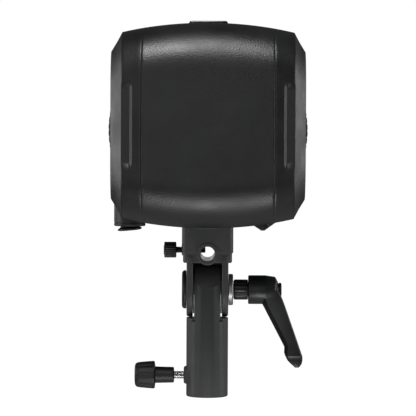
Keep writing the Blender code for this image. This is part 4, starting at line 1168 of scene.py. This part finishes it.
def bracket_block():
    """Die casting: block with a lip, umbrella boss and the two clevis arms."""
    low, high = BRACKET_LOW, BRACKET_HIGH
    steps = [
        (LIP_INSET + 0.0009, BLOCK_BOTTOM), (LIP_INSET, BLOCK_BOTTOM + 0.0010),
        (LIP_INSET, LIP_Z - 0.0004),
    ]
    steps += [(0.0002, LIP_Z + 0.0003), (0, LIP_Z + 0.0012), (0, high.z - 0.0006), (0.0006, high.z)]
    body = []
    for inset, z in steps:
        body += box_steps((-high.x, BRACKET_FRONT), (high.x, BRACKET_REAR), [(z, inset)], 0.0056 - inset, 6)
    casting = loft("bracket_body", body, CAST_BLACK, "Z")
    for side in (-1, 1):
        weld_on(casting, clevis_arm(side, PIVOT.z - low.z), front_rib(side))
    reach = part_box("receiver_casting")[1].z - PIVOT.z + 0.0003
    saddle = arc(PIVOT_YZ, reach, math.radians(57.6), math.radians(102.9), 24)
    saddle += [(saddle[-1][0], BLOCK_BOTTOM + 0.003), (saddle[0][0], BLOCK_BOTTOM + 0.003)]
    weld_on(casting, prism("saddle", saddle, -0.0128, 0.0128, CAST_BLACK, "X"))
    radius = 0.0095
    boss = at(low.y, (0, 0), (0, radius - 0.0007), (0.0002, radius - 0.0002), (0.0007, radius))
    boss += at(high.y, (-0.0007, radius), (-0.0002, radius - 0.0002), (0, radius - 0.0007), (0, 0))
    weld_on(casting, turned("boss", boss, CAST_BLACK, "Y", AT_UMBRELLA, 96))
    bolt = rod("bolt_hole", BOLT_HOLE, -0.03, 0.03, CAST_BLACK, "X", AT_PIVOT)
    thumb = rod("thumb_hole", 0.0030, -0.03, -0.004, CAST_BLACK, "X", THUMB_AXIS, 40)
    bore = rod("bore", UMBRELLA_WALL + 0.0003, -0.05, 0.06, CAST_BLACK, "Y", AT_UMBRELLA, 96)
    cut(casting, bolt, thumb, bore)
    place(casting, "head", "bracket_block", "cast_metal")
    bracket_trim()


def clevis_arm(side, lug_radius):
    """Flat arm with a round lower end and a softened outer edge."""
    edge = 0.0016
    steps = ((ARM_INNER, 0.0006), (ARM_INNER + 0.0006, 0), (ARM_OUTER - edge, 0))
    steps += ((ARM_OUTER - edge * 0.4, edge * 0.25), (ARM_OUTER, edge))
    sections = []
    for x, shrink in steps:
        reach = lug_radius - shrink
        lug = arc(PIVOT_YZ, reach, math.pi, 2 * math.pi, 40)
        lug += [(PIVOT.y + reach, BLOCK_BOTTOM + 0.003), (PIVOT.y - reach, BLOCK_BOTTOM + 0.003)]
        sections.append((side * x, lug))
    return loft("clevis_arm", sections, CAST_BLACK, "X")


def front_rib(side):
    """Low rib where an arm runs up into the front of the block."""
    x0, x1 = span(side, ARM_INNER + 0.0001, ARM_OUTER - 0.0004)
    back = BRACKET_FRONT + 0.004
    rib = []
    for rise, depth in ((0.0002, 0.0009), (0.0040, 0.0009), (0.0062, 0.0001)):
        near = (x0, BRACKET_FRONT + LIP_INSET - depth)
        rib.append((BLOCK_BOTTOM + rise, rounded_box_outline(near, (x1, back), 0.0012, 4)))
    return loft("front_rib", rib, CAST_BLACK, "Z")


def bracket_trim():
    """Thumb screw's boss, the seals that fill the clevis gaps and the lip round the umbrella hole."""
    boss = at(-BRACKET_HIGH.x, (-0.0002, 0.0031), (-0.0002, 0.0046), (0.0008, 0.0050), (0.0008, 0.0031))
    pieces = [turned("thumb_boss", boss, CAST_BLACK, "X", THUMB_AXIS, 64)]
    for side in (-1, 1):
        for outer, start, end in ((0.01240, -5, 180), (0.01222, 180, 247)):
            x = span(side, 0.01130, outer)
            crescent = arc(PIVOT_YZ, 0.0216, math.radians(start), math.radians(end), 48)
            crescent += arc(PIVOT_YZ, 0.0187, math.radians(end), math.radians(start), 48)
            pieces.append(prism("gap_seal", crescent, x[0], x[1], KNOB_PLASTIC, "X"))
    lip = at(
        BRACKET_LOW.y, (0.0001, 0.0066), (0.0001, 0.0084), (0.0010, 0.0084), (0.0010, 0.0062),
        (0.0004, 0.0062),
    )
    pieces.append(turned("bore_lip", lip, CAST_BLACK, "Y", AT_UMBRELLA, 96))
    for piece in pieces:
        place(piece, "head", "bracket_block", "cast_metal")


SLEEVE_TURNS = 46


def umbrella_parts():
    """Ridged steel sleeve in the hole, and the thumb screw that clamps an umbrella's shaft in it."""
    low, high = SLEEVE_LOW, SLEEVE_HIGH
    radius = UMBRELLA_WALL - 0.00145
    profile = at(low.y, (0, radius + 0.0008), (0, UMBRELLA_WALL))
    profile += at(high.y, (0, UMBRELLA_WALL), (0, radius + 0.0008), (-0.0008, radius))
    for k in range(SLEEVE_TURNS, -1, -1):
        y = low.y + 0.001 + (high.y - low.y - 0.002) * k / SLEEVE_TURNS
        profile += [(y + 0.0003, radius), (y, radius + 0.00002)]
    sleeve = turned("sleeve_ridges", profile, BARE_STEEL, "Y", AT_UMBRELLA, 96)
    cut(sleeve, rod("sleeve_hole", 0.0030, -0.03, -0.001, BARE_STEEL, "X", THUMB_AXIS, 40))
    place(sleeve, "head", "umbrella_sleeve", "bare_steel")
    low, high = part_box("umbrella_lock_screw")
    screw = threaded("thumb_screw", low.x + 0.0050, high.x, 0.0027, 0.0005, 0.0010, BLACK_STEEL, THUMB_AXIS)
    place(screw, "umbrella_screw", "umbrella_lock_screw", "black_steel")
    low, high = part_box("umbrella_knob")
    outer = (high.z - low.z) / 2
    profile = at(low.x, (0, 0), (0, outer - 0.0030), (0.0004, outer - 0.0025), (0.0004, outer - 0.0012))
    profile += at(low.x, (0.0005, outer - 0.0003), (0.0008, outer))
    profile += at(high.x, (-0.0006, outer), (-0.0002, outer - 0.0003), (0, outer - 0.0012))
    profile += at(high.x, (0, 0.0023), (-0.0008, 0.0023), (-0.0008, 0))

    def ribs(angle, along, radius):
        return radius - (0.0004 * (0.5 - 0.5 * math.cos(24 * angle)) ** 2 if radius > outer - 0.0010 else 0)

    knob = turned("thumb_knob", profile, KNOB_PLASTIC, "X", THUMB_AXIS, 288, ribs)
    place(knob, "umbrella_knob", "umbrella_knob", "knob_plastic")


THREAD_STEPS = 6
THREAD_SEGMENTS = 48


def threaded(name, low, high, radius, depth, pitch, surface, axis_point):
    """Screw with a helical thread about an axis along X."""
    builder = bmesh.new()
    count = int((high - low) / pitch * THREAD_STEPS)
    loops = [[builder.verts.new((0, 0, low))]]
    for k in range(count + 1):
        along = low + (high - low) * k / count
        tip = 0.0006 * max(0, 1 - (high - along) / 0.0008)
        loop = []
        for n in range(THREAD_SEGMENTS):
            turn = n / THREAD_SEGMENTS
            phase = abs(2 * (((along - low) / pitch + turn) % 1.0) - 1)
            reach = radius - depth * (1 - phase * 1.6 if phase < 0.625 else 0) - tip
            angle = 2 * math.pi * turn
            loop.append(builder.verts.new((reach * math.cos(angle), reach * math.sin(angle), along)))
        loops.append(loop)
    loops.append([builder.verts.new((0, 0, high))])
    join_loops(builder, loops, False)
    turn_over = Matrix.Translation((0, axis_point[1], axis_point[2])) @ AXIS_TURN["X"]
    bmesh.ops.transform(builder, matrix=turn_over, verts=builder.verts)
    return from_bmesh(name, builder, surface)


RECEIVER_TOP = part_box("receiver_casting")[1]
TUBE_RADIUS = RECEIVER_TOP.x
SHOULDER_Z = 0.0673
TONGUE_HALF = 0.0112
SOCKET_RADIUS = 0.0081
SOCKET_DEPTH = 0.052
TUBE_TOP = 0.0995


def receiver_casting():
    """Stand tube with its socket, shoulder, scooped front and rounded tongue."""
    lip = 0.0014
    profile = [(SOCKET_DEPTH, 0), (SOCKET_DEPTH, SOCKET_RADIUS), (0.0010, SOCKET_RADIUS)]
    profile += [(0.0003, SOCKET_RADIUS + 0.0004), (0, SOCKET_RADIUS + 0.0012), (0, TUBE_RADIUS - lip)]
    profile += [
        (lip * 0.12, TUBE_RADIUS - lip * 0.55), (lip * 0.45, TUBE_RADIUS - lip * 0.18),
        (lip, TUBE_RADIUS),
    ]
    profile += [(TUBE_TOP, TUBE_RADIUS), (TUBE_TOP, 0)]
    tube = turned("tube", profile, TUBE_BLACK, "Z", (0, 0, 0), 128)
    scoop = softened(
        [(-0.0200, 0.0898), (-0.0175, 0.0935), (-0.0130, 0.1001), (-0.0100, 0.1045), (-0.0300, 0.1045)],
        0, 1,
    )
    cut(tube, prism("scoop", scoop, -0.02, 0.02, TUBE_BLACK, "X"))
    for side in (-1, 1):
        x = span(side, TONGUE_HALF, 0.03)
        cut(tube, block("side_cut", (x[0], -0.03, SHOULDER_Z), (x[1], 0.03, 0.12), TUBE_BLACK))
        x = span(side, TONGUE_HALF - 0.0008, 0.0158)
        low, high = (x[0], -0.0200, SHOULDER_Z - 0.0028), (x[1], -0.0112, SHOULDER_Z - 0.0006)
        cut(tube, block("pocket", low, high, TUBE_BLACK, 0.0004))
    reach = RECEIVER_TOP.z - PIVOT.z
    sections = []
    for side in (-1, 1):
        for inward, shrink in ((0, 0.0008), (0.0003, 0.0003), (0.0009, 0))[::-side]:
            disc = arc(PIVOT_YZ, reach - shrink, -math.pi, math.pi, 96)[:-1]
            sections.append((side * (TONGUE_HALF - inward), disc))
    weld_on(tube, loft("tongue", sections, TUBE_BLACK, "X"))
    boss = [
        (-0.0200, 0), (-0.0200, 0.0060), (-0.0196, 0.0070), (-0.0186, 0.00765), (-0.0145, 0.00765),
        (-0.0145, 0),
    ]
    weld_on(tube, turned("lock_boss", boss, TUBE_BLACK, "X", KNOB_AXIS, 64))
    cut(tube, rod("lock_hole", 0.0036, -0.03, -0.004, TUBE_BLACK, "X", KNOB_AXIS, 48))
    cut(tube, rod("tilt_hole", BOLT_HOLE, -0.02, 0.02, TUBE_BLACK, "X", AT_PIVOT, 64))
    smooth_again(tube, 25)
    place(tube, "receiver", "receiver_casting", "cast_metal")


def receiver_lock():
    """Lock screw of the receiver, and its knob with eight shallow flutes."""
    low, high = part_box("receiver_lock_screw")
    screw = threaded("lock_screw", low.x + 0.0200, high.x, 0.0033, 0.0006, 0.0012, BARE_STEEL, KNOB_AXIS)
    place(screw, "receiver_screw", "receiver_lock_screw", "bare_steel")
    low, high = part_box("receiver_knob")
    start, end = low.x, high.x
    wide = (high.z - low.z) / 2
    profile = at(start, (0.0006, 0), (0.0003, 0.0050), (0, 0.0066), (0.0002, 0.0082))
    profile += at(
        start, (0.0010, 0.0098), (0.0024, 0.0106), (0.0045, 0.0110), (0.0100, 0.0115), (0.0155, wide),
    )
    profile += at(
        start, (0.0166, wide - 0.0001), (0.0171, wide - 0.0006), (0.0174, wide - 0.0020),
        (0.0175, 0.0082),
    )
    profile.append((start + 0.0179, 0.00705))
    profile += at(
        end, (-0.0010, 0.0067), (-0.0003, 0.0064), (0, 0.0058), (0, 0.0036), (-0.001, 0.0034),
        (-0.001, 0),
    )

    def flutes(angle, along, radius):
        inside = smoothstep(start + 0.0008, start + 0.0030, along)
        inside *= 1 - smoothstep(start + 0.0150, start + 0.0166, along)
        dip = max(0, math.cos(8 * angle + 0.4)) ** 2
        return radius - (0.0005 * dip * inside if radius > 0.0090 else 0)

    knob = turned("lock_knob", spread(profile, 0.0008), KNOB_PLASTIC, "X", KNOB_AXIS, 192, flutes)
    place(knob, "receiver_knob", "receiver_knob", "knob_plastic")


def pivot_hardware():
    """Nut disc, outer washer and the two friction washers of the tilt joint."""
    low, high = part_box("pivot_disc")
    radius = (high.z - low.z) / 2
    disc = at(low.x, (0.0005, 0), (0.0005, 0.0085), (0.0002, 0.0090), (0, 0.0098), (0, radius - 0.0022))
    disc += at(low.x, (0.0003, radius - 0.0013), (0.0009, radius - 0.0005), (0.0018, radius))
    disc += at(high.x, (-0.0003, radius), (0, radius - 0.0003), (0, 0))
    place(turned("tilt_disc", disc, KNOB_PLASTIC, "X", AT_PIVOT, 128), "head", "pivot_disc", "shell_plastic")
    low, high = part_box("pivot_washer")
    radius = (high.z - low.z) / 2
    washer = at(low.x, (0, 0.0048), (0, radius - 0.0002), (0.0002, radius))
    washer += arc((high.x - 0.0012, radius - 0.0012), 0.0012, HALF_PI, 0, 6)
    washer += [(high.x, 0.0048)]
    place(
        turned("tilt_washer", washer, POLISHED, "X", AT_PIVOT, 128), "head", "pivot_washer",
        "polished_steel",
    )
    for side in ("left", "right"):
        node = "friction_washer_" + side
        low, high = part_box(node)
        radius = (high.z - low.z) / 2
        ring = at(low.x, (0, 0.0048), (0, radius - 0.0001), (0.0001, radius))
        ring += at(high.x, (-0.0001, radius), (0, radius - 0.0001), (0, 0.0048))
        place(turned("friction_" + side, ring, BLACK_STEEL, "X", AT_PIVOT, 128), "head", node, "bare_steel")


# ---------------------------------------------------------------- clamp lever

def clamp_lever():
    """Ribbed collar, lever and its end button."""
    low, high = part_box("lever_insert")
    collar = at(low.x, (0, 0.0047), (0, 0.0074), (0.0007, 0.0085), (0.0012, 0.0087))
    collar += [(0.0340, 0.0087), (0.0346, 0.0082), (0.0346, 0.0058)]
    collar += at(high.x, (0, 0.0058), (0, 0.0047))

    def ribs(angle, along, radius):
        return radius - (0.0004 * (0.5 - 0.5 * math.cos(16 * angle)) if radius > 0.0082 else 0)

    insert = turned("lever_collar", collar, LEVER_PLASTIC, "X", AT_PIVOT, 256, ribs)
    place(insert, "clamp_insert", "lever_insert", "lever_plastic")
    low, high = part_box("lever_handle")
    r = high.z - PIVOT.z
    hub = at(low.x, (0, 0), (0, r - 0.0006), (0.0003, r - 0.0002), (0.0008, r))
    hub += [(0.0496, r), (0.0502, r - 0.0001), (0.0574, 0.0112), (0.0582, 0.0107)]
    hub += [(0.0588, 0.0098), (0.0598, 0.0076), (0.0603, 0.0072), (0.0603, 0)]
    lever = turned("lever_hub", hub, LEVER_PLASTIC, "X", AT_PIVOT, 128)
    weld_on(lever, lever_arm())
    cut(lever, rod("spring_chamber", 0.0047, 0.0462, 0.0700, LEVER_PLASTIC, "X", AT_PIVOT, 48))
    cut(lever, rod("cap_seat", 0.0063, 0.0603, 0.0700, LEVER_PLASTIC, "X", AT_PIVOT, 64))
    cut(lever, rod("insert_clearance", 0.0062, 0.0300, 0.0446, LEVER_PLASTIC, "X", AT_PIVOT, 48))
    place(lever, "clamp_lever", "lever_handle", "lever_plastic")
    low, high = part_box("lever_cap")
    button = at(low.x, (0, 0), (0, 0.0044), (0.0011, 0.0044), (0.0011, 0.0058))
    button += at(high.x, (-0.0010, 0.0060), (-0.0003, 0.0057), (0, 0.0050), (-0.0003, 0.0042), (-0.0003, 0))
    place(
        turned("lever_button", button, LEVER_PLASTIC, "X", AT_PIVOT, 96), "clamp_lever", "lever_cap",
        "lever_plastic",
    )


def lever_arm():
    """Arm with a flat face, a scooped inner flank and a faceted tip, as sections down its length."""
    z0 = PIVOT.z
    y0 = PIVOT.y
    # each row: height below the axis, inner edge, ridge, outer edge,
    # half thickness at the face, half thickness at the inner edge
    stations = [
        (-0.0002, 0.0474, 0.0480, 0.0606, 0.0115, 0.0104),
        (-0.0052, 0.0462, 0.0488, 0.0632, 0.0110, 0.0086),
        (-0.0085, 0.0458, 0.0497, 0.0646, 0.0106, 0.0068),
        (-0.0125, 0.0472, 0.0514, 0.0661, 0.0101, 0.0048),
        (-0.0230, 0.0527, 0.0568, 0.0698, 0.0088, 0.0034),
        (-0.0340, 0.0584, 0.0627, 0.0737, 0.0076, 0.0030),
        (-0.0440, 0.0636, 0.0680, 0.0772, 0.0066, 0.0032),
        (-0.0490, 0.0662, 0.0692, 0.0789, 0.0064, 0.0040),
        (-0.0542, 0.0661, 0.0685, 0.0807, 0.0063, 0.0048),
        (-0.0564, 0.0668, 0.0690, 0.0815, 0.0064, 0.0050),
        (-0.0570, 0.0672, 0.0692, 0.0816, 0.0060, 0.0048),
        (-0.0600, 0.0685, 0.0703, 0.0817, 0.0060, 0.0046),
        (-0.0629, 0.0712, 0.0727, 0.0812, 0.0059, 0.0044),
        (-0.0650, 0.0736, 0.0748, 0.0800, 0.0057, 0.0042),
        (-0.0665, 0.0752, 0.0759, 0.0786, 0.0052, 0.0040),
    ]
    sections = []
    for z, inner, ridge, outer, face, flank in stations:
        edge = 0.0011
        half = [(inner, -flank), (ridge, -face), (outer - edge, -face), (outer, -face + edge)]
        ring = half + [(x, -y) for x, y in reversed(half)]
        soft = softened(ring, [0.0006, 0.0003, 0.0006, 0.0006] * 2, 2, True)
        sections.append((z0 + z, [(x, y0 + y) for x, y in soft]))
    return loft("lever_blade", sections, LEVER_PLASTIC, "Z")


# ---------------------------------------------------------------- main

camera()
stage_and_lights()
front_cap()
lock_ring()
release_plunger()
mount_frame()
sensor_window()
housings()
bracket_block()
umbrella_parts()
receiver_casting()
receiver_lock()
pivot_hardware()
clamp_lever()
rear_panel()
display()
buttons()
control_dial()
power_rocker()
mains_inlet()
fuse_drawer()
sockets()
panel_screws()
lamp()
finish_kept_nodes()
